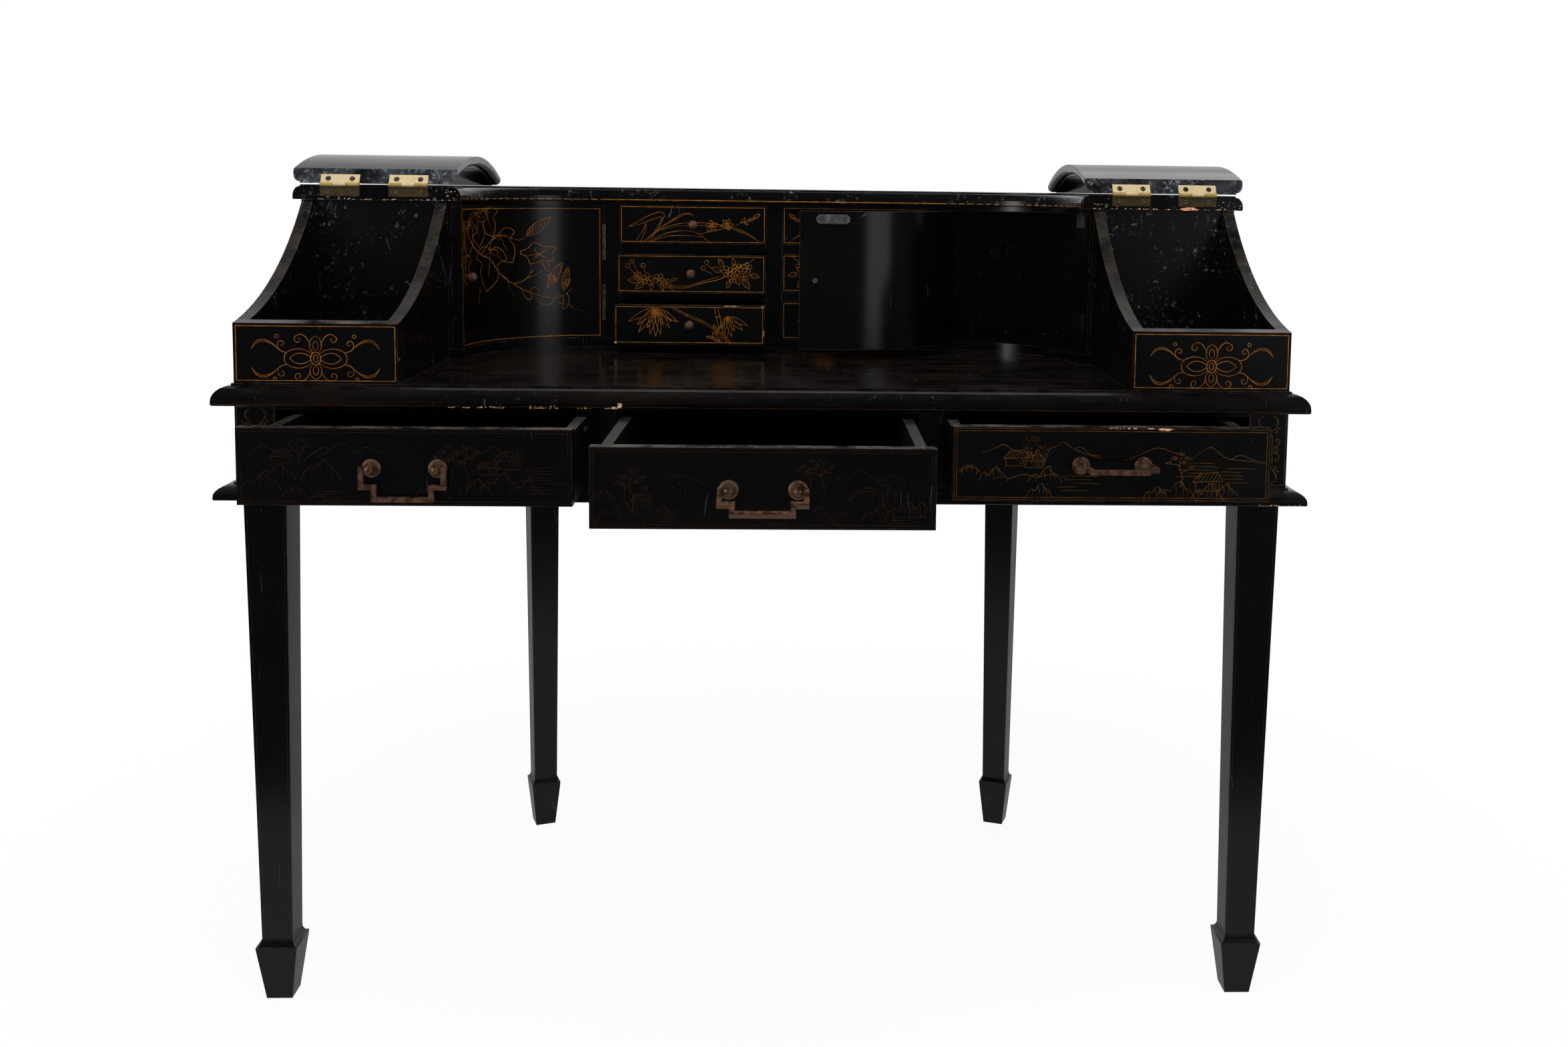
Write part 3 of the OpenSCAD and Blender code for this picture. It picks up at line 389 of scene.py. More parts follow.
class Palette:
    """Every finish of the desk, built once."""

    def __init__(self) -> None:
        """Builds the materials."""
        # upward faces turn grey: wear on the deck, moulding and rims, and painted top light on the handled finishes
        worn_and_lit_top = RubbedAndLit.UPWARD_FACES
        self.polished = Lacquer("polished_black_lacquer").material()
        self.deck = Lacquer(
            "streaked_black_lacquer", streaks=0.3, rubbed=worn_and_lit_top, rubbed_and_lit_amount=0.12, gloss=0.13, scuffs=0.12
        ).material()
        self.moulding = Lacquer(
            "rubbed_black_lacquer", rubbed=worn_and_lit_top, rubbed_and_lit_amount=0.35, edge_mm=1.6, gloss=0.14, scuffs=0.25
        ).material()
        self.board = Lacquer("chipped_black_lacquer", edge_mm=1.8, edge_amount=0.7, scuffs=0.45, gloss=0.15).material()
        self.rims = Lacquer(
            "worn_black_lacquer", rubbed=worn_and_lit_top, rubbed_and_lit_amount=0.62, edge_mm=1.8, dust=0.4, gloss=0.24, scuffs=0.3
        ).material()
        self.dusty = Lacquer("dusty_black_lacquer", dust=0.8, gloss=0.28, scuffs=0.35).material()
        # painted sheen as well as wear: bluish grey blotches and scuffs on the folded lids' butt edges
        self.lids = Lacquer(
            "lid_black_lacquer_with_wear_and_painted_sheen",
            ground="0b0c0d",
            rubbed=RubbedAndLit.ALL_OVER,
            rubbed_and_lit_colour="3a3f46",
            rubbed_and_lit_amount=0.8,
            edge_colour="5c6065",
            edge_mm=2.0,
            edge_amount=0.6,
            scuffs=0.75,
            gloss=0.13,
            # the butt edge of a lid that is folded back, where the bluish grey is painted sheen as well as wear
            sheen_and_wear_way=(0.0, -0.873, 0.488),
        ).material()
        # painted top light as well as wear: the upward faces and top arrises of drawer and bin fronts are greyed as if
        # lit from above
        self.handled_and_top_lit = Lacquer(
            "handled_black_lacquer_with_painted_top_light",
            rubbed=worn_and_lit_top,
            rubbed_and_lit_colour="5a554f",
            rubbed_and_lit_amount=0.85,
            edge_mm=1.2,
            gloss=0.16,
        ).material()
        # painted top light as well as wear: the drawer boxes' upward faces are greyed as if lit from above
        self.handled_and_top_lit_wood = Lacquer(
            "handled_black_drawer_wood_with_painted_top_light",
            ground="0c0b0a",
            rubbed=worn_and_lit_top,
            rubbed_and_lit_colour="434140",
            rubbed_and_lit_amount=0.75,
            gloss=0.4,
        ).material()
        self.drawer_wood = PlainWood("black_stained_drawer_wood").material()
        self.gilt = GiltPaint("gilt_paint").material()
        self.dim_gilt = GiltPaint("faded_gilt_paint", "432410", "241407", 0.5).material()
        self.worn_gilt = GiltPaint("worn_gilt_paint", "875c22", "523612", 0.45).material()
        # a matt film keeps most of these leaves from mirroring the dim room
        self.hinge = Metal("old_rolled_brass", "f2dcae", "b99a5c", 0.52, 0.85, 0.42, bare_share=0.45).material()
        # painted shade: the hanging board leaves get a dark copy of the lid leaves' brass for the shade under the
        # overhang, and a painted highlight on the knuckle above a height near the pin
        self.painted_shade_hinge = Metal(
            "rolled_brass_in_painted_shade", "5e4e2e", "352b1a", 0.3, 0.7, 0.4, "c4aa68", painted_highlight_above=1007.7, bare_share=0.6
        ).material()
        self.upright_hinge = Metal("dirty_rolled_brass", "8f866a", "5a5340", 0.35, 0.7, 0.42).material()
        self.screw = Metal("old_brass_screws", "9c8a6c", "5e5140", gloss=0.35).material()
        self.bail = Metal("brown_cast_brass", "94705e", "6a4d40", gloss=0.36).material()
        self.post = Metal("brown_turned_brass", "8e7058", "634c3b", gloss=0.34).material()
        self.knob = Metal("dull_turned_brass", "a3806c", "6b5144", gloss=0.38).material()
        self.steel = Metal("dull_plated_steel", "cfcdc8", "8f8c85", 0.5, 0.85).material()
        # painted shade: a dark colour in the screws' slots and round their heads, where slots and countersinks are
        # shaded
        self.slot = PlainWood("painted_shade_in_screw_slots", "1d1813", "0c0a08", (1.0, 1.0, 1.0)).material()
        self.chip = BareGround("bare_chipped_ground").material()
        self.splinter = BareGround("bare_splintered_wood", "f6c49a", "d98a55").material()


# painted faces


@dataclass(frozen=True)
class FlatFace:
    """A flat painted face, with u to the right and v up over it, in mm from its origin."""

    origin: tuple[float, float, float]
    right: tuple[float, float, float] = (1.0, 0.0, 0.0)
    up: tuple[float, float, float] = (0.0, 0.0, 1.0)

    def place(self, u: float, v: float, lift: float) -> Vector:
        """Gives the row-frame point, in metres, at u, v and a height over the face."""
        right, up = Vector(self.right), Vector(self.up)
        out = right.cross(up)
        return (Vector(self.origin) + right * u + up * v + out * lift) * MM

    @staticmethod
    def left_handed() -> bool:
        """Tells whether u, v and outwards turn a mesh inside out."""
        return False


@dataclass(frozen=True)
class HollowFace:
    """The hollow face of a door: u runs from the hinge along the curve, v up from the door's lower edge."""

    centre: Point
    radius: float
    foot: float
    side: int
    swing: float = 0.0
    axis: Point = (0.0, 0.0)
    out: int = 1

    def place(self, u: float, v: float, lift: float) -> Vector:
        """Gives the row-frame point, in metres, at u, v and a height over the hollow face."""
        angle = u / self.radius
        reach = self.radius - self.out * lift
        x = self.centre[0] + self.side * reach * math.sin(angle)
        y = self.centre[1] + reach * math.cos(angle)
        c, s = math.cos(self.swing), math.sin(self.swing)
        dx, dy = x - self.axis[0], y - self.axis[1]
        return Vector((self.axis[0] + c * dx - s * dy, self.axis[1] + s * dx + c * dy, self.foot + v)) * MM

    def left_handed(self) -> bool:
        """Tells whether u, v and outwards turn a mesh inside out."""
        return self.side * self.out < 0


Face = FlatFace | HollowFace
# a face with a place on it
Spot = tuple[Face, float, float]


@dataclass
class Stroke:
    """One brush stroke: its points in mm on the face, and its half width at each."""

    points: list[Point]
    widths: list[float]


class Taper(Enum):
    """How a brush stroke's width runs from its start to its end."""

    EVEN = "even"
    BOTH = "both"
    END = "end"


@dataclass
class Brush:
    """Collects the strokes of one painted face, moved, turned, sized and mirrored by its settings."""

    width: float = 0.55
    strokes: list[Stroke] = field(default_factory=list)
    at: Point = (0.0, 0.0)
    turn: float = 0.0
    size: float = 1.0
    flip: bool = False

    def using(self, at: Point, turn: float = 0.0, size: float = 1.0, flip: bool = False) -> "Brush":
        """Gives a brush for a motif placed in this one's space, which draws into the same strokes."""
        x, y = self._move(at)
        turned = self.turn + (-math.radians(turn) if self.flip else math.radians(turn))
        return Brush(self.width, self.strokes, (x, y), turned, self.size * size, self.flip != flip)

    def _move(self, p: Point) -> Point:
        """Puts a motif's point on the face."""
        x, y = p[0] * self.size * (-1 if self.flip else 1), p[1] * self.size
        c, s = math.cos(self.turn), math.sin(self.turn)
        return self.at[0] + c * x - s * y, self.at[1] + s * x + c * y

    def line(self, *points: Point, width: float = 1.0) -> None:
        """Draws straight lines of even width through the points."""
        placed = [self._move(p) for p in points]
        for a, b in zip(placed, placed[1:]):
            self.strokes.append(Stroke([a, b], [self.width * width] * 2))

    def curve(self, *points: Point, width: float = 1.0, taper: Taper = Taper.BOTH, closed: bool = False) -> None:
        """Draws one smooth stroke through the points.

        Args:
            points: What the stroke passes through, in the motif's mm.
            width: The stroke's width as a share of the brush's.
            taper: Where the stroke thins out.
            closed: Whether the stroke runs back into its start.
        """
        placed = [self._move(p) for p in points]
        if closed:
            ring = [placed[-1], *placed, placed[0], placed[1]]
        else:
            ring = [placed[0], *placed, placed[-1]]
        dense: list[Point] = []
        for i in range(1, len(ring) - 2):
            a, b, c, d = ring[i - 1 : i + 3]
            count = max(2, int(math.dist(b, c) / 1.3))
            for k in range(count):
                dense.append(tuple(_spline(a[j], b[j], c[j], d[j], k / count) for j in (0, 1)))
        dense.append(ring[-2])
        last = len(dense) - 1
        widths = []
        for i in range(last + 1):
            t = i / last
            share = 1.0
            if taper is Taper.BOTH and not closed:
                share = 0.35 + 0.65 * math.sin(math.pi * t) ** 0.6
            elif taper is Taper.END:
                share = 1.0 - 0.75 * t**1.5
            widths.append(self.width * width * share)
        self.strokes.append(Stroke(dense, widths))

    def ring(self, centre: Point, rx: float, ry: float | None = None, width: float = 1.0) -> None:
        """Draws a closed oval."""
        ry = ry or rx
        steps = [math.tau * k / 8 for k in range(8)]
        self.curve(
            *[(centre[0] + rx * math.cos(a), centre[1] + ry * math.sin(a)) for a in steps], width=width, closed=True
        )

    def curl(self, start: Point, centre: Point, turns: float, width: float = 1.0, end: float = 0.25) -> None:
        """Draws a scroll that winds from start in round centre."""
        dx, dy = start[0] - centre[0], start[1] - centre[1]
        reach, angle = math.hypot(dx, dy), math.atan2(dy, dx)
        count = max(6, int(abs(turns) * 12))
        points = []
        for k in range(count + 1):
            t = k / count
            r = reach * (1 - (1 - end) * t)
            a = angle + math.tau * turns * t
            points.append((centre[0] + r * math.cos(a), centre[1] + r * math.sin(a)))
        self.curve(*points, width=width, taper=Taper.END)

    def border(self, x0: float, y0: float, x1: float, y1: float, width: float = 1.0) -> None:
        """Draws a ruled border."""
        self.line((x0, y0), (x1, y0), (x1, y1), (x0, y1), (x0, y0), width=width)


def _spline(a: float, b: float, c: float, d: float, t: float) -> float:
    """Gives one coordinate on the smooth curve from b to c."""
    return 0.5 * (2 * b + (c - a) * t + (2 * a - 5 * b + 4 * c - d) * t**2 + (3 * b - a - 3 * c + d) * t**3)


class PaintLine:
    """The Geometry Nodes tree that gives a path its body of paint: low, flat topped and closed at both ends."""

    HEIGHT_SHARE = 0.3

    def __init__(self) -> None:
        """Builds the tree, with its height share and finish as inputs."""
        self.tree = tree = bpy.data.node_groups.new("paint_line", "GeometryNodeTree")
        face = tree.interface
        face.new_socket("Geometry", in_out="INPUT", socket_type="NodeSocketGeometry")
        self.height_id = face.new_socket("Height Share", in_out="INPUT", socket_type="NodeSocketFloat").identifier
        self.finish_id = face.new_socket("Finish", in_out="INPUT", socket_type="NodeSocketMaterial").identifier
        face.new_socket("Geometry", in_out="OUTPUT", socket_type="NodeSocketGeometry")
        entry = add_node(tree, "NodeGroupInput").outputs
        curve = output_of(tree, "GeometryNodeMeshToCurve", {"Mesh": entry["Geometry"]})
        width = attribute_of(tree, "half_width", "FLOAT")
        sized = output_of(tree, "GeometryNodeSetCurveRadius", {"Curve": curve, "Radius": width})
        flat = output_of(tree, "GeometryNodeSetCurveNormal", {"Curve": sized}, mode="Z_UP")
        sizes = {"Bottom Width": 1.1, "Top Width": 2.0, "Height": entry["Height Share"], "Offset": 0.0}
        profile = output_of(tree, "GeometryNodeCurvePrimitiveQuadrilateral", sizes, mode="TRAPEZOID")
        sockets = {"Curve": flat, "Profile Curve": profile, "Scale": width, "Fill Caps": True}
        body = output_of(tree, "GeometryNodeCurveToMesh", sockets)
        real = output_of(tree, "GeometryNodeRealizeInstances", {"Geometry": body})
        done = output_of(tree, "GeometryNodeSetMaterial", {"Geometry": real, "Material": entry["Finish"]})
        add_node(tree, "NodeGroupOutput", {"Geometry": done})

    def paint(self, name: str, brush: Brush, face: Face, finish: Material) -> Object:
        """Turns a brush's strokes into one mesh that lies on the face.

        Args:
            name: The new object's name.
            brush: The strokes.
            face: The face they are painted on.
            finish: The paint.

        Returns:
            The finished object, with its place in its mesh.
        """
        mesh = bpy.data.meshes.new(name + "_paths")
        verts, edges, widths = [], [], []
        for stroke in brush.strokes:
            start = len(verts)
            verts += [(x, y, 0.0) for x, y in stroke.points]
            edges += [(start + i, start + i + 1) for i in range(len(stroke.points) - 1)]
            widths += stroke.widths
        mesh.from_pydata(verts, edges, [])
        mesh.attributes.new("half_width", "FLOAT", "POINT").data.foreach_set("value", widths)
        made = solid_from(name, mesh, self.tree, {self.height_id: self.HEIGHT_SHARE, self.finish_id: finish})
        for vertex in made.data.vertices:
            u, v, lift = vertex.co
            vertex.co = face.place(u, v, lift)
        if face.left_handed():
            made.data.flip_normals()
        made.data.update()
        return made


def solid_from(name: str, mesh: Mesh, tree: NodeTree, inputs: dict) -> Object:
    """Runs a Geometry Nodes tree on a mesh and keeps the result as a plain mesh object.

    Args:
        name: The new object's name.
        mesh: The mesh that the tree reads.
        tree: The tree.
        inputs: Values by socket identifier.

    Returns:
        The new object at the origin, with no modifier.
    """
    seed = linked(name + "_seed", mesh)
    modifier = seed.modifiers.new("tree", "NODES")
    modifier.node_group = tree
    for key, value in inputs.items():
        modifier[key] = value
    graph = bpy.context.evaluated_depsgraph_get()
    result = bpy.data.meshes.new_from_object(seed.evaluated_get(graph))
    bpy.data.objects.remove(seed)
    result.name = name
    return linked(name, result)


# motifs


def cartouche(brush: Brush) -> None:
    """Draws the old scrolled cartouche: a lozenge, four double petals, curls and long arcs."""
    brush.ring((0, 0), 6.3, 8.2, 1.35)
    brush.ring((0, 0), 2.9, 4.8, 1.1)
    for flip in (False, True):
        half = brush.using((0, 0), flip=flip)
        outer = [(4.5, 5.4), (12, 10.4), (22, 12.3), (32, 10.2), (38.5, 4.5)]
        half.curve(*outer, *[(x, -y) for x, y in reversed(outer)], width=1.1)
        for up in (1, -1):
            half.curve((6.2, 1.8 * up), (13, 5.6 * up), (21, 6.8 * up), (27.5, 4.4 * up), (32.5, 0), taper=Taper.EVEN)
        for up, tall in ((1, 1.0), (-1, -0.93)):
            half.curve((3.4, 7 * up), (7.0, 13 * tall), (7.2, 20 * tall), (4.2, 26 * tall), (0, 28.6 * tall))
            half.curve((0.4, 9.6 * up), (3.2, 14 * tall), (2.7, 19.5 * tall), (0, 23 * tall), width=0.9)
            half.curve((6.3, 17 * tall), (11, 26 * tall), (18, 31 * tall), (24.6, 28.6 * tall), width=1.2)
            half.curl((24.6, 28.6 * tall), (21.8, 24.2 * tall), -0.95 * up, 1.2)
            half.curve((36, 7.6 * up), (43, 9.4 * up), (47.4, 13.6 * up), (47.6, 18.4 * up), width=1.15)
            half.curl((47.6, 18.4 * up), (42.7, 18.6 * up), 0.95 * up, 1.15)
            half.curve((47.2, 12.2 * up), (54, 19.2 * up), (64, 23.8 * up), (74, 21.6 * up), (80.5, 11.8 * up))
            half.curve(
                (49, 14.2 * up), (56, 19.0 * up), (65, 21.8 * up), (73.4, 19.4 * up), (80.5, 11.8 * up), width=0.7
            )
            half.ring((50 - 1.5 * up, 28.4 * tall), 2.2, width=0.9)


def lobed_leaf(brush: Brush, lean: float = 0.0) -> None:
    """Draws a three lobed leaf of unit length, its stalk at the origin and its tip up."""
    tip = (lean, 1.0)
    left = ((-0.2, -0.1), (-0.42, -0.02), (-0.58, 0.2), (-0.42, 0.26), (-0.3, 0.36), (-0.36, 0.52), (-0.26, 0.76))
    right = ((0.18, -0.12), (0.42, -0.04), (0.56, 0.16), (0.4, 0.24), (0.28, 0.34), (0.34, 0.5), (0.28, 0.74))
    for edge in (left, right):
        brush.curve((0, 0), *edge, tip, taper=Taper.EVEN)
    brush.curve((0, 0), (lean * 0.3, 0.4), (lean * 0.8, 0.88), width=0.8, taper=Taper.END)
    brush.curve((0, 0.03), (-0.2, 0.12), (-0.44, 0.18), width=0.6, taper=Taper.END)
    brush.curve((0, 0.03), (0.2, 0.1), (0.42, 0.14), width=0.6, taper=Taper.END)


def furled_bud(brush: Brush) -> None:
    """Draws a twisted flower bud of unit length with its sepals, growing up from the origin."""
    for s in (-1, 1):
        brush.curve((0.02 * s, 0.1), (0.14 * s, 0.34), (0.12 * s, 0.68), (0.02 * s, 1.0), taper=Taper.EVEN)
        brush.curve((0, 0), (0.1 * s, 0.12), (0.17 * s, 0.34), width=0.9, taper=Taper.END)
    brush.curve((0, 0), (0.02, 0.18), (-0.03, 0.36), width=0.9, taper=Taper.END)
    for k in range(6):
        low = 0.22 + 0.12 * k
        brush.curve((-0.12, low), (0.0, low + 0.03), (0.12 - 0.012 * k, low + 0.15), width=0.8)


def trumpet_flower(brush: Brush) -> None:
    """Draws an open trumpet flower of unit half width, its tube running up and back."""
    rim = []
    for k in range(30):
        a = math.tau * k / 30
        r = 0.74 + 0.36 * (1 - abs(math.sin(2.5 * a + 0.4)))
        rim.append((r * math.cos(a), 0.56 * r * math.sin(a) - 0.1 * math.cos(a)))
    brush.curve(*rim, width=1.15, closed=True)
    throat = (-0.05, 0.05)
    for k in range(5):
        a = (math.pi * k - 0.4) / 2.5
        end = (0.84 * math.cos(a), 0.46 * math.sin(a))
        mid = (0.45 * math.cos(a) + 0.08, 0.22 * math.sin(a) + 0.05)
        brush.curve(throat, mid, end, width=1.0, taper=Taper.END)
    brush.curve((-0.42, 0.42), (-0.46, 0.78), (-0.4, 1.05), width=1.0, taper=Taper.EVEN)
    brush.curve((-0.12, 0.5), (-0.26, 0.8), (-0.3, 1.06), width=1.0, taper=Taper.EVEN)


def blossom(brush: Brush, petals: int = 5) -> None:
    """Draws an open blossom of unit radius with a ring at its heart."""
    brush.ring((0, 0), 0.2, width=0.8)
    edge = ((0.05, 0.2), (0.36, 0.55), (0.26, 0.94), (0, 1.02), (-0.26, 0.94), (-0.36, 0.55), (-0.05, 0.2))
    for k in range(petals):
        brush.using((0, 0), turn=360 * k / petals + 11).curve(*edge, width=0.9, taper=Taper.EVEN)


def pointed_leaf(brush: Brush, girth: float = 0.2) -> None:
    """Draws a pointed leaf of unit length, growing up from the origin, with its middle vein."""
    brush.curve((0, 0), (-girth, 0.4), (-girth * 0.7, 0.72), (0, 1.0), taper=Taper.EVEN)
    brush.curve((0, 0), (girth, 0.36), (girth * 0.8, 0.7), (0, 1.0), taper=Taper.EVEN)
    if girth > 0.12:
        brush.curve((0, 0.05), (0.02, 0.8), width=0.6, taper=Taper.END)


def cane(brush: Brush, *points: Point, girth: float = 2.6) -> None:
    """Draws a jointed bamboo cane through the points, with a ring at each joint."""
    for a, b in zip(points, points[1:]):
        length = math.dist(a, b)
        nx, ny = (b[1] - a[1]) / length * girth / 2, -(b[0] - a[0]) / length * girth / 2
        for s in (-1, 1):
            brush.line((a[0] + s * nx, a[1] + s * ny), (b[0] + s * nx * 0.9, b[1] + s * ny * 0.9), width=0.85)
        brush.line((b[0] - 1.5 * nx, b[1] - 1.5 * ny), (b[0] + 1.5 * nx, b[1] + 1.5 * ny), width=1.1)


def pavilion(brush: Brush) -> None:
    """Draws a small pavilion, unit wide, with a hatched roof and a round window."""
    brush.line((-0.62, 0.36), (-0.3, 0.72), (0.42, 0.78), (0.66, 0.4), (-0.62, 0.36))
    for k in range(6):
        x = -0.42 + 0.16 * k
        brush.line((x, 0.4), (x + 0.2, 0.72), width=0.8)
    brush.line((-0.5, 0.36), (-0.5, 0.0), (0.5, 0.0), (0.5, 0.4))
    brush.line((0.05, 0.38), (0.05, 0.0), width=0.8)
    brush.ring((0.27, 0.2), 0.1, width=0.8)


def pine(brush: Brush, rng: random.Random) -> None:
    """Draws a pine of unit height with fans of needles."""
    brush.curve((0.0, 0.0), (0.06, 0.3), (-0.04, 0.6), (0.04, 0.95), width=1.5, taper=Taper.END)
    brush.curve((0.02, 0.42), (0.2, 0.5), (0.34, 0.52), taper=Taper.END)
    brush.curve((0.0, 0.62), (-0.16, 0.68), (-0.3, 0.66), taper=Taper.END)
    for x, y in ((0.04, 0.95), (0.22, 0.82), (-0.2, 0.8), (0.34, 0.55), (-0.32, 0.68), (0.1, 0.7)):
        for _ in range(7):
            a = math.radians(rng.uniform(20, 160))
            r = rng.uniform(0.08, 0.13)
            sx = x + rng.uniform(-0.08, 0.08)
            brush.line((sx, y), (sx + r * math.cos(a), y + r * math.sin(a)), width=0.75)


def dotted_tree(brush: Brush, rng: random.Random) -> None:
    """Draws a forked tree of unit height whose leaves are dots."""
    brush.curve((0, 0), (0.02, 0.3), (-0.04, 0.6), width=1.2, taper=Taper.END)
    brush.curve((0.01, 0.25), (0.14, 0.45), (0.2, 0.62), taper=Taper.END)
    brush.curve((0.0, 0.36), (-0.14, 0.5), (-0.2, 0.66), taper=Taper.END)
    for _ in range(46):
        a, r = rng.uniform(0, math.tau), 0.34 * math.sqrt(rng.random())
        x, y = r * math.cos(a) * 1.1, 0.7 + r * math.sin(a)
        brush.line((x, y), (x + 0.02, y + 0.012), width=1.1)


def water(brush: Brush, rng: random.Random, lines: int = 5) -> None:
    """Draws level water lines across a unit width."""
    for k in range(lines):
        x = rng.uniform(-0.1, 0.3)
        brush.curve((x, -0.07 * k), (x + 0.3, -0.07 * k + 0.01), (x + rng.uniform(0.45, 0.75), -0.07 * k), width=0.8)


def bridge(brush: Brush) -> None:
    """Draws an arched bridge of unit width on four posts."""
    brush.curve((0, 0), (0.22, 0.2), (0.5, 0.28), (0.78, 0.2), (1, 0), taper=Taper.EVEN)
    brush.curve((0.02, 0.08), (0.22, 0.27), (0.5, 0.36), (0.78, 0.27), (0.98, 0.08), width=0.8, taper=Taper.EVEN)
    for x, y in ((0.14, 0.13), (0.36, 0.25), (0.62, 0.26), (0.86, 0.14)):
        brush.line((x, y), (x, y - 0.24), width=0.9)


def rocks(brush: Brush, rng: random.Random) -> None:
    """Draws a bank of craggy rocks in a unit width."""
    left = ((-0.5, 0), (-0.42, 0.2), (-0.3, 0.3), (-0.16, 0.22), (-0.05, 0.42))
    right = ((0.12, 0.5), (0.22, 0.32), (0.34, 0.26), (0.5, 0))
    brush.line(*[(x, y + rng.uniform(-0.03, 0.03)) for x, y in left + right])
    for x, y in ((-0.3, 0.26), (-0.05, 0.38), (0.12, 0.44), (0.24, 0.28)):
        brush.curve((x, y), (x + 0.05, y * 0.6), (x + 0.02, y * 0.2), width=0.8, taper=Taper.END)


def boat(brush: Brush) -> None:
    """Draws a low boat, 38 mm long."""
    brush.curve((-8, -32), (6, -36), (20, -36), (30, -31), width=0.9)
    brush.curve((0, -33), (10, -28), (20, -29), (26, -32), width=0.8)


def hills(brush: Brush, *peaks: Point) -> None:
    """Draws a ridge line through the peaks, in mm."""
    brush.curve(*peaks, taper=Taper.BOTH)


def landscape(brush: Brush, rng: random.Random, rows: tuple) -> None:
    """Draws a landscape.

    Args:
        brush: The brush.
        rng: What the motifs drawn by chance draw from.
        rows: A motif to a row, with its places as x, y and size, or hills with their peaks.
    """
    for motif, *places in rows:
        if motif is hills:
            hills(brush, *places)
            continue
        chance = (rng,) if motif in (pine, dotted_tree, water, rocks) else ()
        for x, y, size in places:
            motif(brush.using((x, y), size=size), *chance)


LAKE_SHORE = (
    (hills, (-170, 14), (-160, 21), (-155, 25), (-148, 20), (-136, 16)),
    (hills, (-100, 9), (-84, 17), (-70, 27), (-56, 19), (-44, 13)),
    (hills, (-56, 14), (-42, 22), (-24, 15), (-8, 9)),
    (hills, (-112, 6), (-96, 18), (-88, 22), (-80, 18)),
    (dotted_tree, (-117, 2, 34)),
    (pavilion, (-136, 4, 20)),
    (rocks, (-158, -28, 46), (-140, -16, 40), (-92, -14, 44), (-122, -34, 26)),
    (water, (-96, -28, 44)),
    (hills, (70, 12), (88, 18), (98, 24), (110, 16), (128, 10)),
    (pine, (68, -28, 52), (50, -20, 44)),
    (pavilion, (114, -2, 27), (92, -8, 20)),
    (rocks, (78, -30, 36), (106, -30, 48), (134, -32, 38)),
    (water, (132, 0, 50), (128, -14, 54)),
    (rocks, (30, -36, 40), (-96, -38, 18)),
)
CLIFF_AND_BOAT = (
    (dotted_tree, (-146, -12, 40)),
    (pine, (-138, -26, 44)),
    (rocks, (-150, -40, 54), (-168, -14, 26)),
    (pavilion, (-128, -20, 18)),
    (water, (-118, -24, 40)),
    (rocks, (-108, -36, 34)),
    (hills, (-104, 6), (-88, 14), (-70, 8), (-56, 2)),
    (boat, (0, 0, 1.0)),
    (pine, (62, -14, 44), (48, -4, 34)),
    (hills, (84, 8), (94, 16), (101, 21), (112, 14), (124, 9), (134, 15), (146, 9)),
    (bridge, (88, -14, 44)),
    (dotted_tree, (138, -16, 30)),
    (rocks, (122, -34, 36), (150, -34, 44), (166, -26, 26), (56, -38, 40)),
    (water, (60, -26, 40), (130, -30, 46)),
)
TWO_SHORES = (
    (hills, (-153, 13), (-138, 18), (-127, 23), (-116, 17), (-104, 13)),
    (hills, (-78, 17), (-66, 21), (-58, 26), (-46, 19), (-30, 12), (-12, 7)),
    (hills, (-44, 19), (-36, 20), (-26, 12), (-14, 10)),
    (bridge, (-178, -10, 24)),
    (pavilion, (-112, -2, 24), (-92, -4, 20)),
    (dotted_tree, (-94, 0, 32), (-80, -2, 24)),
    (hills, (-140, -18), (-128, -14), (-120, -17), (-104, -12), (-88, -15), (-70, -12), (-50, -18)),
    (rocks, (-138, -20, 34), (-78, -22, 40), (-84, -38, 30)),
    (water, (-60, -14, 60)),
    (hills, (15, 5), (32, 12), (53, 20), (74, 14), (95, 8)),
    (hills, (85, 0), (100, 13), (114, 21), (124, 15), (136, 8), (160, 5), (182, 2)),
    (hills, (136, 6), (150, 12), (164, 7), (178, 4)),
    (water, (74, 2, 56), (118, -4, 60)),
    (pine, (80, -26, 40)),
    (pavilion, (112, -30, 28)),
    (rocks, (76, -42, 48), (132, -38, 34), (52, -40, 30), (112, -42, 40)),
)


# painted sub-assemblies


@dataclass
class Painter:
    """Turns brushes into paint on the desk's bodies."""

    palette: Palette
    tree: PaintLine = field(default_factory=PaintLine)

    def lay(self, name: str, body: str, face: Face, brush: Brush, finish: Material) -> None:
        """Paints a brush's strokes on a face of a body.

        Args:
            name: The new piece's name.
            body: The CAD body it rides on.
            face: The painted face.
            brush: The strokes.
            finish: The paint.
        """
        piece = self.tree.paint(name, brush, face, finish)
        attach(piece, body)
        LOG.info("painted %s: %d strokes, %d faces", name, len(brush.strokes), len(piece.data.polygons))


@dataclass
class BinFronts:
    """The painted fronts of the two bins."""

    middle_x: float = 538.0
    middle_z: float = 811.0
    half_width: float = 97.0
    half_height: float = 36.0
    inset: float = 3.4
    drop: float = -6.0

    def paint(self, painter: Painter) -> None:
        """Paints a ruled border and a cartouche on both fronts."""
        for side, s in SIDES:
            brush = Brush(0.42)
            w, h = self.half_width - self.inset, self.half_height - self.inset
            brush.border(-w, -h, w, h, 1.2)
            cartouche(brush.using((0, self.drop), size=0.94))
            face = FlatFace((s * self.middle_x, FRONT_Y, self.middle_z))
            painter.lay(f"bin_front_ornament_{side}", "carcase", face, brush, painter.palette.gilt)


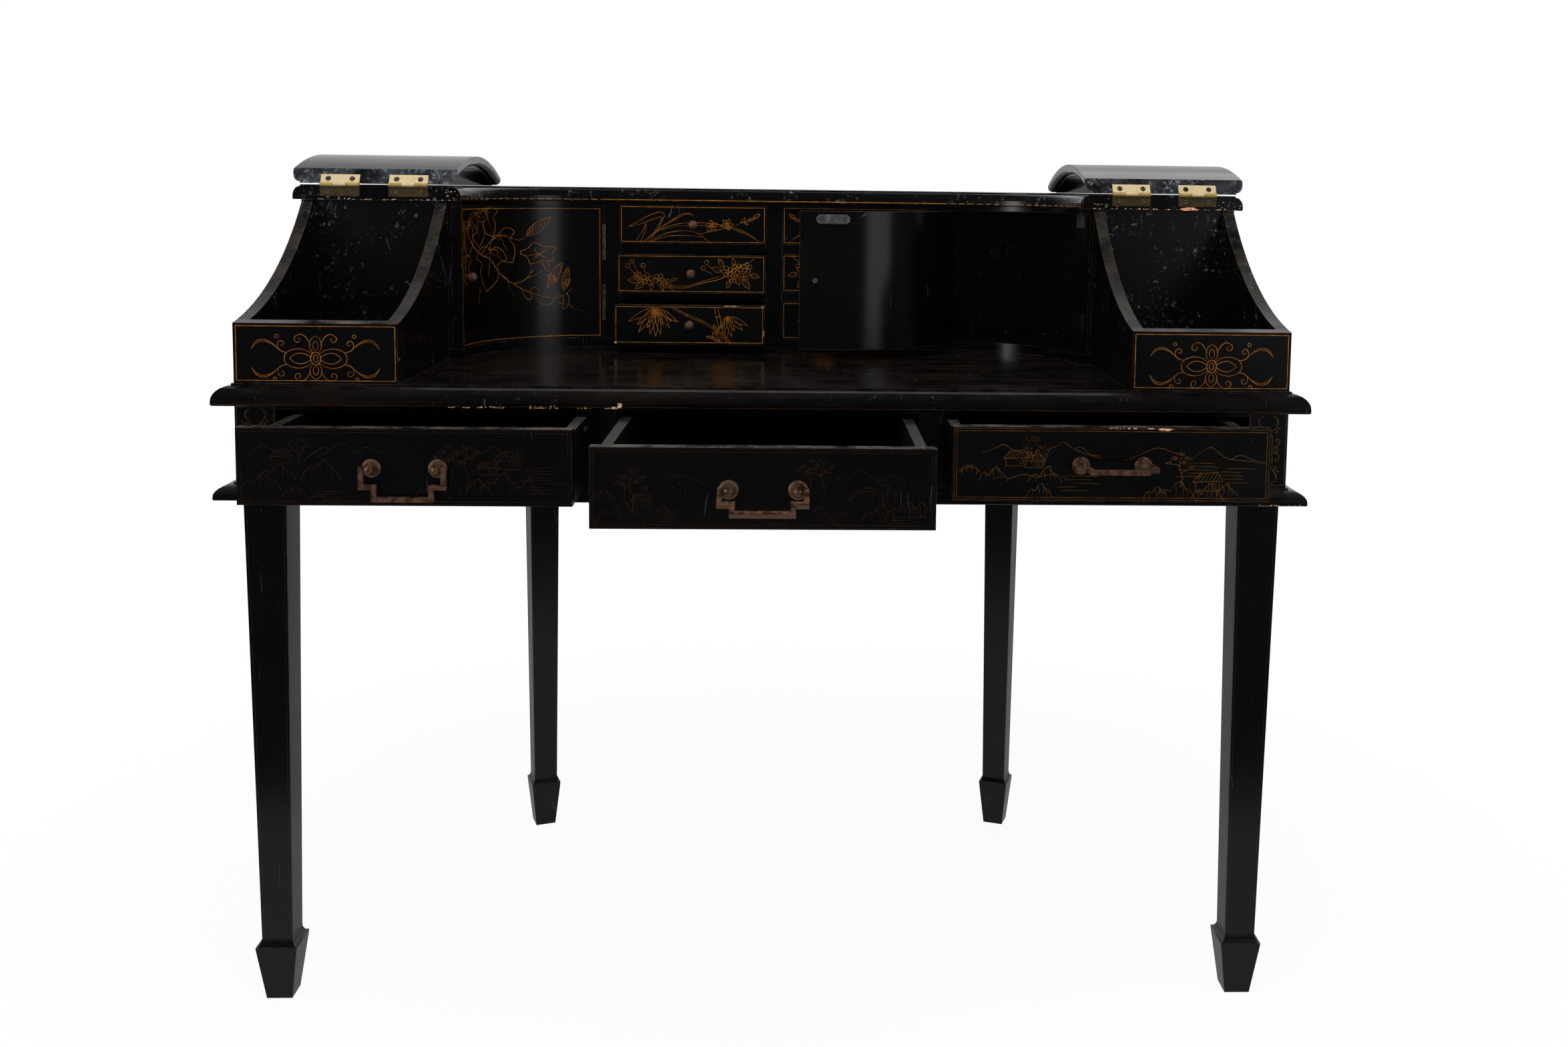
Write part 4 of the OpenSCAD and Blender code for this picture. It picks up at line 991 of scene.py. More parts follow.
@dataclass
class CurvedDoors:
    """The painted hollow faces of the two cupboard doors."""

    centre_x: float = 250.0
    centre_y: float = 103.359
    radius: float = 172.0
    plate_radius: float = 187.2
    foot: float = 788.5
    height: float = 193.5
    axis_x: float = 250.5
    axis_y: float = 272.359
    open_angle: float = 106.0
    border_inset: float = 3.4
    border_near: float = 7.0
    border_far: float = 264.0

    def face(self, side: int, back: bool = False) -> HollowFace:
        """Gives the hollow face of the left (-1) or right (1) door at rest, or its back, where the plate lies.

        Args:
            side: Which door.
            back: Whether the back is asked for; its radius includes the plate.

        Returns:
            The face.
        """
        swing = -math.radians(self.open_angle) if side > 0 else 0.0
        radius, out = (self.plate_radius, -1) if back else (self.radius, 1)
        centre, axis = (side * self.centre_x, self.centre_y), (side * self.axis_x, self.axis_y)
        return HollowFace(centre, radius, self.foot, side, swing, axis, out)

    def paint(self, painter: Painter) -> None:
        """Paints a border and a trailing vine on both doors."""
        for side, s in SIDES:
            brush = Brush(0.42)
            self.vine(brush)
            painter.lay(f"door_vine_{side}", f"door_{side}", self.face(s), brush, painter.palette.gilt)

    def vine(self, b: Brush) -> None:
        """Draws the border and the vine, u from the hinge and v from the lower edge.

        Args:
            b: The brush.
        """
        low, near, far = self.border_inset, self.border_near, self.border_far
        top = self.height - low
        for v, width in ((top, 1.7), (low, 1.3)):
            b.curve((near, v), (70, v), (140, v), (200, v), (far, v), width=width, taper=Taper.EVEN)
        b.line((near, low), (near, top), width=1.3)
        b.line((far, low), (far, top), width=1.0)
        # stems
        for width, *points in (
            (
                1.9, (262, 176), (246, 160), (226, 140), (204, 126), (182, 118), (164, 98), (138, 81), (108, 67),
                (80, 60), (60, 63), (49, 73),
            ),
            (1.3, (138, 82), (124, 85), (114, 92), (109, 103), (112, 112)),
            (1.0, (118, 89), (104, 93), (90, 101)),
            (0.8, (112, 96), (106, 100), (104, 108)),
            (1.5, (204, 126), (184, 142), (163, 152), (140, 147), (127, 145), (116, 151)),
            (1.3, (246, 160), (236, 172), (220, 182), (200, 186)),
            (1.3, (262, 176), (254, 150), (252, 120), (256, 92), (250, 70)),
        ):
            b.curve(*points, width=width, taper=Taper.END)
        # leaves
        for at, turn, size, lean in (
            ((163, 152), 153, 46, 0.05),
            ((182, 130), 186, 57, -0.04),
            ((190, 186), 164, 38, 0.08),
            ((214, 182), 172, 46, 0.0),
            ((238, 168), 188, 44, 0.0),
            ((252, 122), 176, 36, 0.05),
        ):
            lobed_leaf(b.using(at, turn, size), lean)
            b.curve(at, (at[0] + 3, at[1] + 6), width=1.2)
        # flower and buds
        trumpet_flower(b.using((98, 125), 172, 28, flip=True))
        for at, turn, size in (((116, 151), 55, 46), ((84, 75), 31, 42), ((60, 70), 11, 35)):
            furled_bud(b.using(at, turn, size))
        pointed_leaf(b.using((72, 86), -60, 14), 0.24)
        pointed_leaf(b.using((58, 78), 40, 12), 0.24)
        # tendrils
        b.curve((126, 77), (122, 66), (114, 58), (108, 62), (111, 71), (104, 76), (97, 70), (99, 63), width=0.9)
        b.curve((104, 64), (97, 54), (86, 49), (76, 54), (71, 62), width=0.9)
        b.curve((74, 60), (66, 64), (60, 58), (63, 51), (69, 54), (66, 61), width=0.8)
        for width, *points in (
            (0.75, (55, 66), (52, 54), (56, 45), (62, 44), (61, 50), (52, 49), (44, 42), (34, 40), (24, 30)),
            (0.7, (158, 95), (150, 88), (146, 76), (138, 66), (128, 66)),
            (0.8, (208, 80), (207, 72), (210, 64), (208, 54), (209, 42)),
        ):
            b.curve(*points, width=width, taper=Taper.END)


@dataclass
class SmallDrawers:
    """The painted fronts of the six small drawers."""

    middle_x: float = 119.25
    front_y: float = 275.359
    levels: tuple[tuple[str, float], ...] = (("top", 957.3), ("middle", 886.8), ("bottom", 816.3))
    pulls: tuple[float, ...] = (12.0, 45.0, 85.0)
    half_width: float = 107.25
    half_height: float = 28.0
    inset: float = 2.6

    def paint(self, painter: Painter) -> None:
        """Paints a border and a plant on each front; the right column mirrors the left."""
        plants = {"top": self.orchid, "middle": self.branch, "bottom": self.bamboo}
        for side, s in SIDES:
            for (level, z), pull in zip(self.levels, self.pulls):
                out = pull if side == "left" else 0.0
                brush = Brush(0.34)
                w, h = self.half_width - self.inset, self.half_height - self.inset
                brush.border(-w, -h, w, h, 1.4)
                plants[level](brush.using((0, 0), flip=side == "right"))
                face = FlatFace((s * self.middle_x, self.front_y - out, z))
                name = f"small_drawer_{side}_{level}"
                painter.lay(f"{name}_ornament", name, face, brush, painter.palette.gilt)

    @staticmethod
    def orchid(b: Brush) -> None:
        """Draws long bent blades and a spray of orchids."""
        for width, *points in (
            (1.1, (-64, -25), (-52, -8), (-44, 8), (-42, 14), (-47, 18), (-62, 14), (-80, 4), (-95, -4)),
            (0.9, (-58, -12), (-49, 2), (-47, 11), (-60, 7), (-78, 0), (-95, -4)),
            (1.0, (-84, -25), (-74, -10), (-69, 1), (-70, -10), (-77, -25)),
            (1.1, (-72, -25), (-54, -10), (-32, 6), (-14, 16), (0, 14)),
            (0.9, (-46, -4), (-32, 4), (-16, 13), (-4, 18)),
            (1.1, (-70, -25), (-48, -8), (-22, 1), (12, 3), (46, -1), (76, -10), (97, -24)),
            (0.8, (-46, -8), (-20, -2), (14, -1), (50, -4), (82, -15), (97, -24)),
            (1.1, (-62, -25), (-40, -13), (-14, -9), (6, -12), (23, -25)),
            (0.9, (-60, -25), (-36, -17), (-8, -16), (14, -18)),
        ):
            b.curve(*points, width=width)
        b.curve((8, -14), (32, -8), (56, -3), (72, 4), (88, 9), (98, 15), width=1.0, taper=Taper.END)
        for at, turn, size in (((27, -2), 8, 9.5), ((50, 1), -20, 9.0)):
            flower = b.using(at, turn, size)
            for a in (0, 66, 132, 214, 290):
                pointed_leaf(flower.using((0, 0), a, 1.0), 0.3)
            flower.curve((0, 0), (0.3, -0.3), (0.1, -0.6), width=1.0)
        for x, y, turn, size in ((70, 3, -40, 10), (80, 7, -75, 10), (88, 10, -55, 12), (74, 5, -120, 8)):
            pointed_leaf(b.using((x, y), turn, size), 0.2)

    @staticmethod
    def branch(b: Brush) -> None:
        """Draws a branch with blossoms, leaves and round buds at both ends."""
        b.curve((-32, -20), (-8, -20), (16, -13), (44, -6), (62, 8), (84, 18), (92, 25), width=1.5)
        b.curve((-30, -17), (-6, -17), (18, -10), (42, -3), width=1.0)
        for x, y, size in (
            (-64, -8, 8.5), (-47, -8, 8.0), (-78, -4, 6.5), (-36, -14, 6.5), (52, 4, 8.5), (66, 8, 8.0), (80, 10, 7.5),
            (60, -6, 7.0), (76, -4, 6.5),
        ):
            blossom(b.using((x, y), x * 7, size))
        for x, y, turn, size in (
            (-70, -8, 96, 22), (-68, -12, 128, 16), (-56, -14, 165, 11), (-44, -14, 196, 12), (-30, -10, -70, 10),
            (-30, -16, 200, 11), (44, 4, 70, 16), (46, 10, 28, 14), (66, 0, 190, 16), (74, -6, 215, 18),
            (84, 0, -105, 15), (56, -8, 160, 13), (62, 12, 10, 12),
        ):
            pointed_leaf(b.using((x, y), turn, size), 0.22)
        # buds on stalks, from the tip to the root
        for x, y, u, v in ((-92, 11, -78, -4), (-86, 17, -74, -2), (-70, 12, -66, 0), (17, 9, 30, 0), (22, 17, 34, 4)):
            b.ring((x, y), 3.0, width=1.0)
            b.curve((x * 0.97, y - 3), ((x + u) / 2, (y + v) / 2 - 1), (u, v), width=0.8)

    @staticmethod
    def bamboo(b: Brush) -> None:
        """Draws two bamboo canes with fans of narrow leaves."""
        for turn, size in (
            (118, 44), (134, 36), (146, 44), (158, 32), (168, 40), (180, 42), (190, 40), (202, 28), (214, 36),
            (228, 30), (236, 38),
        ):
            pointed_leaf(b.using((-48, 25), turn, size), 0.085)
        cane(b, (-24, 25), (-4, 14), (18, 5), (40, -8), (58, -25))
        cane(b, (38, 25), (41, 12), (44, -4), (50, -25), girth=5.0)
        for turn, size in ((146, 20), (166, 28), (178, 34), (192, 30), (206, 24), (228, 30), (246, 32)):
            pointed_leaf(b.using((54, 13), turn, size), 0.1)
        for x, y, turn, size in ((44, -24, 40, 18), (44, -24, 66, 14), (40, -14, 20, 16), (36, -18, 84, 12)):
            pointed_leaf(b.using((x, y), turn, size), 0.14)


@dataclass
class FriezeDrawers:
    """The painted fronts of the three frieze drawers, with landscapes that have faded to brown."""

    side_x: float = 400.75
    side_half: float = 185.25
    centre_half: float = 182.5
    middle_z: float = 700.1
    half_height: float = 43.5
    pulls: tuple[float, float, float] = (136.0, 245.0, 92.0)
    first_seed: int = 11

    def paint(self, painter: Painter) -> None:
        """Paints a double border and a landscape on each front."""
        faded, worn = painter.palette.dim_gilt, painter.palette.worn_gilt
        rows = (
            ("left", -self.side_x, self.side_half, self.pulls[0], LAKE_SHORE, faded),
            ("centre", 0.0, self.centre_half, self.pulls[1], CLIFF_AND_BOAT, faded),
            ("right", self.side_x, self.side_half, self.pulls[2], TWO_SHORES, worn),
        )
        for seed, (side, x, half, pull, scene, paint) in enumerate(rows, self.first_seed):
            brush = Brush(0.3)
            for inset, width in ((1.8, 0.7), (4.6, 1.0)):
                w, h = half - inset, self.half_height - inset
                brush.border(-w, -h, w, h, width)
            landscape(brush, random.Random(seed), scene)
            face = FlatFace((x, FRONT_Y - pull, self.middle_z))
            painter.lay(f"drawer_landscape_{side}", f"frieze_drawer_{side}", face, brush, paint)


@dataclass
class LegBlocks:
    """The painted faces of the blocks between drawers and corners."""

    middle_x: float = 610.75
    middle_z: float = 703.0
    half_width: float = 24.25 - 2.4
    half_height: float = 47.0 - 3.0

    def paint(self, painter: Painter) -> None:
        """Paints an upright cartouche in a border on both blocks."""
        for side, s in SIDES:
            brush = Brush(0.4)
            brush.border(-self.half_width, -self.half_height, self.half_width, self.half_height)
            cartouche(brush.using((0, 0), 90, 0.52))
            face = FlatFace((s * self.middle_x, FRONT_Y, self.middle_z))
            painter.lay(f"leg_block_ornament_{side}", "carcase", face, brush, painter.palette.worn_gilt)


@dataclass
class RuledLines:
    """The single gilt lines along mouldings, board and legs."""

    rim_y: float = 91.359
    rim_r: float = 172.0
    rim_x: float = 250.0
    rim_end: float = 8.2
    rim_rise: float = 2.8
    top_half: float = 655.0
    top_rise: float = 2.3
    foot_z: float = 79.0
    line_inset: float = 3.2
    line_gap: float = 4.0

    def paint(self, painter: Painter) -> None:
        """Rules every line."""
        gilt, faded = painter.palette.gilt, painter.palette.dim_gilt
        self.board(painter, gilt)
        brush = Brush(0.5)
        brush.line((-self.top_half, self.top_rise), (self.top_half, self.top_rise))
        painter.lay("desk_top_edge_line", "carcase", FlatFace((0.0, MOULDING_Y, TOP_Z)), brush, faded)
        self.leg(painter, faded, "front_leg", (603.0, 29.0), 51.0, 37.6)
        self.leg(painter, faded, "rear_leg", (362.0, 550.0), 46.0, 35.0, turn=20.0)

    def board(self, painter: Painter, paint: Material) -> None:
        """Rules the line on the board's inner edge, straight and round both corners.

        Args:
            painter: The painter.
            paint: The paint.
        """
        brush = Brush(0.75)
        brush.line((-self.rim_x, self.rim_rise), (self.rim_x, self.rim_rise))
        face = FlatFace((0.0, self.rim_y + self.rim_r, BOARD_Z))
        painter.lay("board_edge_line_middle", "carcase", face, brush, paint)
        length = self.rim_r * math.pi / 2 - self.rim_end
        for side, s in SIDES:
            brush = Brush(0.75)
            brush.curve(*[(length * k / 12, self.rim_rise) for k in range(13)], taper=Taper.EVEN)
            face = HollowFace((s * self.rim_x, self.rim_y), self.rim_r, BOARD_Z, s)
            painter.lay(f"board_edge_line_{side}", "carcase", face, brush, paint)

    def leg(
        self, painter: Painter, paint: Material, name: str, at: Point, top: float, low: float, turn: float = 0.0
    ) -> None:
        """Rules a fine frame on the four faces of a pair of legs.

        Args:
            painter: The painter.
            paint: The paint.
            name: What the legs are called.
            at: Where the right leg's axis stands, from the middle and the fronts' plane.
            top: The leg's width under the frieze.
            low: Its width above the foot.
            turn: How far it is turned outwards, in degrees.
        """
        length = BASE_Z - self.foot_z
        slope = (top - low) / 2 / length
        a, b, rise = low / 2 - self.line_inset, top / 2 - self.line_inset, self.line_gap
        for side, s in SIDES:
            for k, way in enumerate(("front", "right", "back", "left")):
                brush = Brush(0.35)
                brush.line((-a, rise), (a, rise), (b, length - rise), (-b, length - rise), (-a, rise))
                angle = math.radians(90 * k - s * turn)
                out = (math.sin(angle), -math.cos(angle))
                up = Vector((out[0] * slope, out[1] * slope, 1.0)).normalized()
                origin = (s * at[0] + out[0] * low / 2, at[1] + FRONT_Y + out[1] * low / 2, self.foot_z)
                face = FlatFace(origin, (math.cos(angle), math.sin(angle), 0.0), tuple(up))
                painter.lay(f"{name}_{side}_{way}_line", "carcase", face, brush, paint)


# metalwork and wear


@dataclass
class ScrewHeads:
    """The Geometry Nodes tree that sets a slotted screw head, flush in its countersink, on each point of a mesh, with
    painted shade in its slot and round its rim.
    """

    radius: float = 3.3
    sink: float = 0.5
    proud: float = 0.06
    slot_width: float = 0.9

    def __post_init__(self) -> None:
        """Builds the tree, with its sizes and finishes as inputs."""
        self.tree = bpy.data.node_groups.new("screw_heads", "GeometryNodeTree")
        face = self.tree.interface
        face.new_socket("Geometry", in_out="INPUT", socket_type="NodeSocketGeometry")
        self.keys = {
            name: face.new_socket(name, in_out="INPUT", socket_type=kind).identifier
            for name, kind in (
                ("Head Radius", "NodeSocketFloat"),
                ("Head Depth", "NodeSocketFloat"),
                ("Slot Width", "NodeSocketFloat"),
                ("Head Finish", "NodeSocketMaterial"),
                ("Slot Shade Finish", "NodeSocketMaterial"),
            )
        }
        face.new_socket("Geometry", in_out="OUTPUT", socket_type="NodeSocketGeometry")
        tree = self.tree
        entry = add_node(tree, "NodeGroupInput").outputs
        radius, depth = entry["Head Radius"], entry["Head Depth"]
        wide, length = (
            output_of(tree, "ShaderNodeMath", {0: radius, 1: share}, operation="MULTIPLY") for share in (1.14, 1.9)
        )
        disc, shape = "GeometryNodeMeshCylinder", {"Vertices": 20, "Depth": depth}
        bar = output_of(tree, "ShaderNodeCombineXYZ", {"X": length, "Y": entry["Slot Width"], "Z": depth})
        joined = add_node(tree, "GeometryNodeJoinGeometry")
        # the wider disc under the head and the bar on it carry painted shade: a dark ring for the countersink's shadow
        # and a dark line for the slot
        for kind, sockets, lift, finish in (
            (disc, {**shape, "Radius": wide}, -0.03, "Slot Shade Finish"),
            (disc, {**shape, "Radius": radius}, 0.0, "Head Finish"),
            ("GeometryNodeMeshCube", {"Size": bar}, 0.02, "Slot Shade Finish"),
        ):
            part = output_of(tree, kind, sockets)
            part = output_of(tree, "GeometryNodeTransform", {"Geometry": part, "Translation": (0, 0, lift * MM)})
            part = output_of(tree, "GeometryNodeSetMaterial", {"Geometry": part, "Material": entry[finish]})
            tree.links.new(part, joined.inputs[0])
        out = attribute_of(tree, "out", "FLOAT_VECTOR")
        spin = output_of(tree, "ShaderNodeCombineXYZ", {"Z": attribute_of(tree, "spin", "FLOAT")})
        turned = output_of(tree, "FunctionNodeEulerToRotation", {"Euler": spin})
        aimed = output_of(tree, "FunctionNodeAlignRotationToVector", {"Rotation": turned, "Vector": out}, axis="Z")
        sockets = {"Points": entry["Geometry"], "Instance": joined.outputs[0], "Rotation": aimed}
        placed = output_of(tree, "GeometryNodeInstanceOnPoints", sockets)
        real = output_of(tree, "GeometryNodeRealizeInstances", {"Geometry": placed})
        add_node(tree, "NodeGroupOutput", {"Geometry": real})

    def drive(self, name: str, spots: list[Spot], head: Material, slot: Material) -> Object:
        """Sets the screws of one body.

        Args:
            name: The new object's name.
            spots: The face and the u and v of each screw.
            head: The heads' finish.
            slot: The painted shade for slots and countersinks.

        Returns:
            The finished object.
        """
        rng = random.Random(name)
        points, outs = [], []
        for face, u, v in spots:
            low, high = face.place(u, v, 0.0), face.place(u, v, 1.0)
            out = (high - low).normalized()
            points.append(low + out * (self.proud - self.sink / 2) * MM)
            outs.extend(out)
        mesh = bpy.data.meshes.new(name + "_points")
        mesh.from_pydata(points, [], [])
        mesh.attributes.new("out", "FLOAT_VECTOR", "POINT").data.foreach_set("vector", outs)
        spins = [rng.uniform(0, math.pi) for _ in points]
        mesh.attributes.new("spin", "FLOAT", "POINT").data.foreach_set("value", spins)
        values = (self.radius * MM, self.sink * MM, self.slot_width * MM, head, slot)
        return solid_from(name, mesh, self.tree, dict(zip(self.keys.values(), values)))


@dataclass
class Hinges:
    """The screws of the lid hinges, door hinges and strike plates."""

    lid_x: float = 538.0
    lid_spread: float = 45.7
    lid_axis: Point = (98.859, 1010.6)
    lid_open: float = 150.766
    lid_screw: Point = (16.0, 9.0)
    door_axis: Point = (250.5, 272.359)
    door_levels: tuple[float, float] = (840.75, 929.75)
    door_screw: Point = (6.8, 16.0)
    plate_half: float = 17.0
    plate_z: float = 971.0
    plate_turn: float = 14.5
    knob_turn: float = 7.0
    leaf_gap: float = 0.1

    def fit(self, palette: Palette, doors: CurvedDoors) -> None:
        """Drives every screw, one piece for each body.

        Args:
            palette: The finishes.
            doors: The doors' sizes.
        """
        tree = ScrewHeads()
        brass, steel = palette.screw, palette.steel
        fixed = []
        for side, s in SIDES:
            fixed += self._lid_leaves(s, 180.0, -1) + self._upright_leaves(s)
            for name, body, spots, slot, head in (
                ("lid_hinge_screws", "lid", self._lid_leaves(s, self.lid_open, 1), "hinge_brass", brass),
                ("door_hinge_screws", "door", self._door_leaves(s, doors), "hinge_brass", brass),
                ("strike_plate_screws", "door", self._plate(s, doors), "plated_steel", steel),
                ("door_knob_screw", "door", self._knob_screw(s, doors), "knob_brass", steel),
            ):
                self._ride(tree.drive(f"{name}_{side}", spots, head, palette.slot), f"{body}_{side}", slot)
        self._ride(tree.drive("fixed_hinge_screws", fixed, brass, palette.slot), "carcase", "hinge_brass")

    @staticmethod
    def _ride(piece: Object, body: str, slot: str) -> None:
        """Puts a piece on its body and logs it."""
        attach(piece, body)
        LOG.info("set %s on %s", piece.name, body)

    def _lid_leaves(self, s: int, angle: float, way: int) -> list[Spot]:
        """Gives the screws of one lid's leaves.

        Args:
            s: Which lid, -1 or 1.
            angle: The leaves' turn round the pin in degrees, at which 180 lies on the board's edge.
            way: Whether the leaves stand up (1) or hang down (-1) from the pin.

        Returns:
            The screws.
        """
        a = math.radians(angle)
        up = (0.0, math.sin(a), -math.cos(a))
        y, z = self.lid_axis[0] - self.leaf_gap * math.cos(a), self.lid_axis[1] - self.leaf_gap * math.sin(a)
        across, rise = self.lid_screw
        return [
            (FlatFace((s * self.lid_x + spread, y, z), up=up), u, way * rise)
            for spread in (-self.lid_spread, self.lid_spread)
            for u in (-across, across)
        ]

    def _upright_leaves(self, s: int) -> list[Spot]:
        """Gives the screws of the leaves on the gallery's uprights."""
        x, y = self.door_axis
        deep, apart = self.door_screw
        return [
            (FlatFace((s * (x - self.leaf_gap), y, z), right=(0.0, float(s), 0.0)), s * deep, v)
            for z in self.door_levels
            for v in (-apart, apart)
        ]

    def _door_leaves(self, s: int, doors: CurvedDoors) -> list[Spot]:
        """Gives the screws of the leaves on a door's hinged end."""
        x, y = self.door_axis
        deep, apart = self.door_screw
        turn = Matrix.Rotation(doors.face(s).swing, 3, "Z")
        right = turn @ Vector((0.0, -float(s), 0.0))
        start = turn @ Vector((s * self.leaf_gap, 0.0, 0.0))
        return [
            (FlatFace((s * x + start.x, y + start.y, z), right=tuple(right)), -s * deep, v)
            for z in self.door_levels
            for v in (-apart, apart)
        ]

    def _plate(self, s: int, doors: CurvedDoors) -> list[Spot]:
        """Gives the screws of the strike plate on the back of a door."""
        back = doors.face(s, back=True)
        middle = math.radians(90 - self.plate_turn) * back.radius
        return [(back, middle + u, self.plate_z - doors.foot) for u in (-self.plate_half, self.plate_half)]

    def _knob_screw(self, s: int, doors: CurvedDoors) -> list[Spot]:
        """Gives the head of the screw that holds a door's knob."""
        back = doors.face(s, back=True)
        return [(back, math.radians(90 - self.knob_turn) * back.radius, doors.height / 2)]


@dataclass(frozen=True)
class Chip:
    """One place where lacquer has come off: a face, its middle and half sizes in mm."""

    face: Face
    middle: Point
    half: Point
    seed: int


@dataclass
class Damage:
    """The chips that show on the desk's arrises, as thin ragged patches of bare ground."""

    lift: float = 0.14
    depth: float = 0.5
    corners: int = 18

    def show(self, palette: Palette) -> None:
        """Lays every patch.

        Args:
            palette: The finishes.
        """
        top = FlatFace((0.0, MOULDING_Y, TOP_Z))
        base = FlatFace((0.0, MOULDING_Y, BASE_Z))
        board = FlatFace((0.0, 99.359, BOARD_Z))
        drawer = FlatFace((400.75, FRONT_Y - 92.0, 743.6))
        small = FlatFace((-119.25, 190.359, 816.3))
        # stretches of small chips: the face, where they start and end, their reach, their count and a seed
        stretches = (
            (top, -194, -181, 2.2, 6, 3),
            (top, -226, -209, 2.4, 9, 4),
            (top, -282, -248, 3.4, 24, 5),
            (top, -342, -312, 2.6, 16, 6),
            (top, -362, -345, 2.2, 8, 7),
            (top, -378, -368, 1.8, 4, 8),
            (base, 596, 652, 1.6, 26, 14),
            (board, -442, -424, 15.0, 12, 9),
            (board, -620, -440, 1.8, 40, 10),
            (board, 440, 474, 15.0, 16, 11),
            (board, 612, 644, 15.0, 18, 12),
            (board, 460, 630, 1.8, 40, 13),
        )
        groups = {
            "carcase": [
                Chip(top, (-176, 4.4), (3.6, 4.2), 1),
                Chip(top, (-182, 1.6), (5.0, 1.5), 2),
                *(chip for stretch in stretches for chip in self.cluster(*stretch)),
            ],
            "frieze_drawer_right": [
                Chip(drawer, (61, -2.0), (12.5, 1.9), 21),
                Chip(drawer, (44, -0.8), (5.0, 0.7), 22),
                *self.cluster(drawer, -4, 34, -1.6, 12, 23),
            ],
            "small_drawer_left_bottom": [
                Chip(small, (-105, -25.8), (2.4, 2.0), 31),
                Chip(small, (106, -12), (0.9, 6.0), 32),
                Chip(small, (60, 27.4), (14.0, 0.5), 33),
                Chip(small, (104, 26), (2.6, 1.6), 34),
            ],
        }
        for body, chips in groups.items():
            self._lay(f"chips_{body}", body, chips, palette.chip)
        self._lay("board_splinter", "carcase", [Chip(board, (573, 1.5), (15.0, 2.8), 41)], palette.splinter)

    @staticmethod
    def cluster(face: Face, start: float, end: float, height: float, count: int, seed: int) -> list[Chip]:
        """Scatters small chips along a stretch of an arris.

        Args:
            face: The face that they lie on.
            start: Where the stretch begins, in mm.
            end: Where it ends.
            height: How far they reach from the arris; below 0 is downwards.
            count: How many there are.
            seed: The random seed.

        Returns:
            The chips.
        """
        rng = random.Random(seed)
        found = []
        for _ in range(count):
            half = rng.uniform(0.5, 2.4) * rng.random() + 0.4, min(rng.uniform(0.3, 0.9), abs(height) / 2)
            reach = math.copysign(max(half[1] + 0.05, abs(height) * rng.random() ** 2), height)
            found.append(Chip(face, (rng.uniform(start, end), reach), half, rng.randrange(1000)))
        return found

    def _lay(self, name: str, body: str, chips: list[Chip], finish: Material) -> None:
        """Puts one mesh of ragged patches on a body.

        Args:
            name: The new piece's name.
            body: The CAD body it rides on.
            chips: The places.
            finish: The bare ground.
        """
        verts, faces = [], []
        for chip in chips:
            rng = random.Random(chip.seed)
            start, n = len(verts), self.corners
            ragged = [rng.uniform(0.55, 1.0) for _ in range(n)]
            for lift in (-self.depth, self.lift):
                for k, r in enumerate(ragged):
                    a = math.tau * k / n
                    u, v = (m + h * r * way for m, h, way in zip(chip.middle, chip.half, (math.cos(a), math.sin(a))))
                    verts.append(chip.face.place(u, v, lift))
            faces.append(tuple(start + n + k for k in range(n)))
            faces.append(tuple(start + k for k in reversed(range(n))))
            faces += [(start + k, start + (k + 1) % n, start + n + (k + 1) % n, start + n + k) for k in range(n)]
        mesh = bpy.data.meshes.new(name)
        mesh.from_pydata(verts, [], faces)
        mesh.materials.append(finish)
        piece = linked(name, mesh)
        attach(piece, body)
        LOG.info("chipped %s in %d places", body, len(chips))


# studio


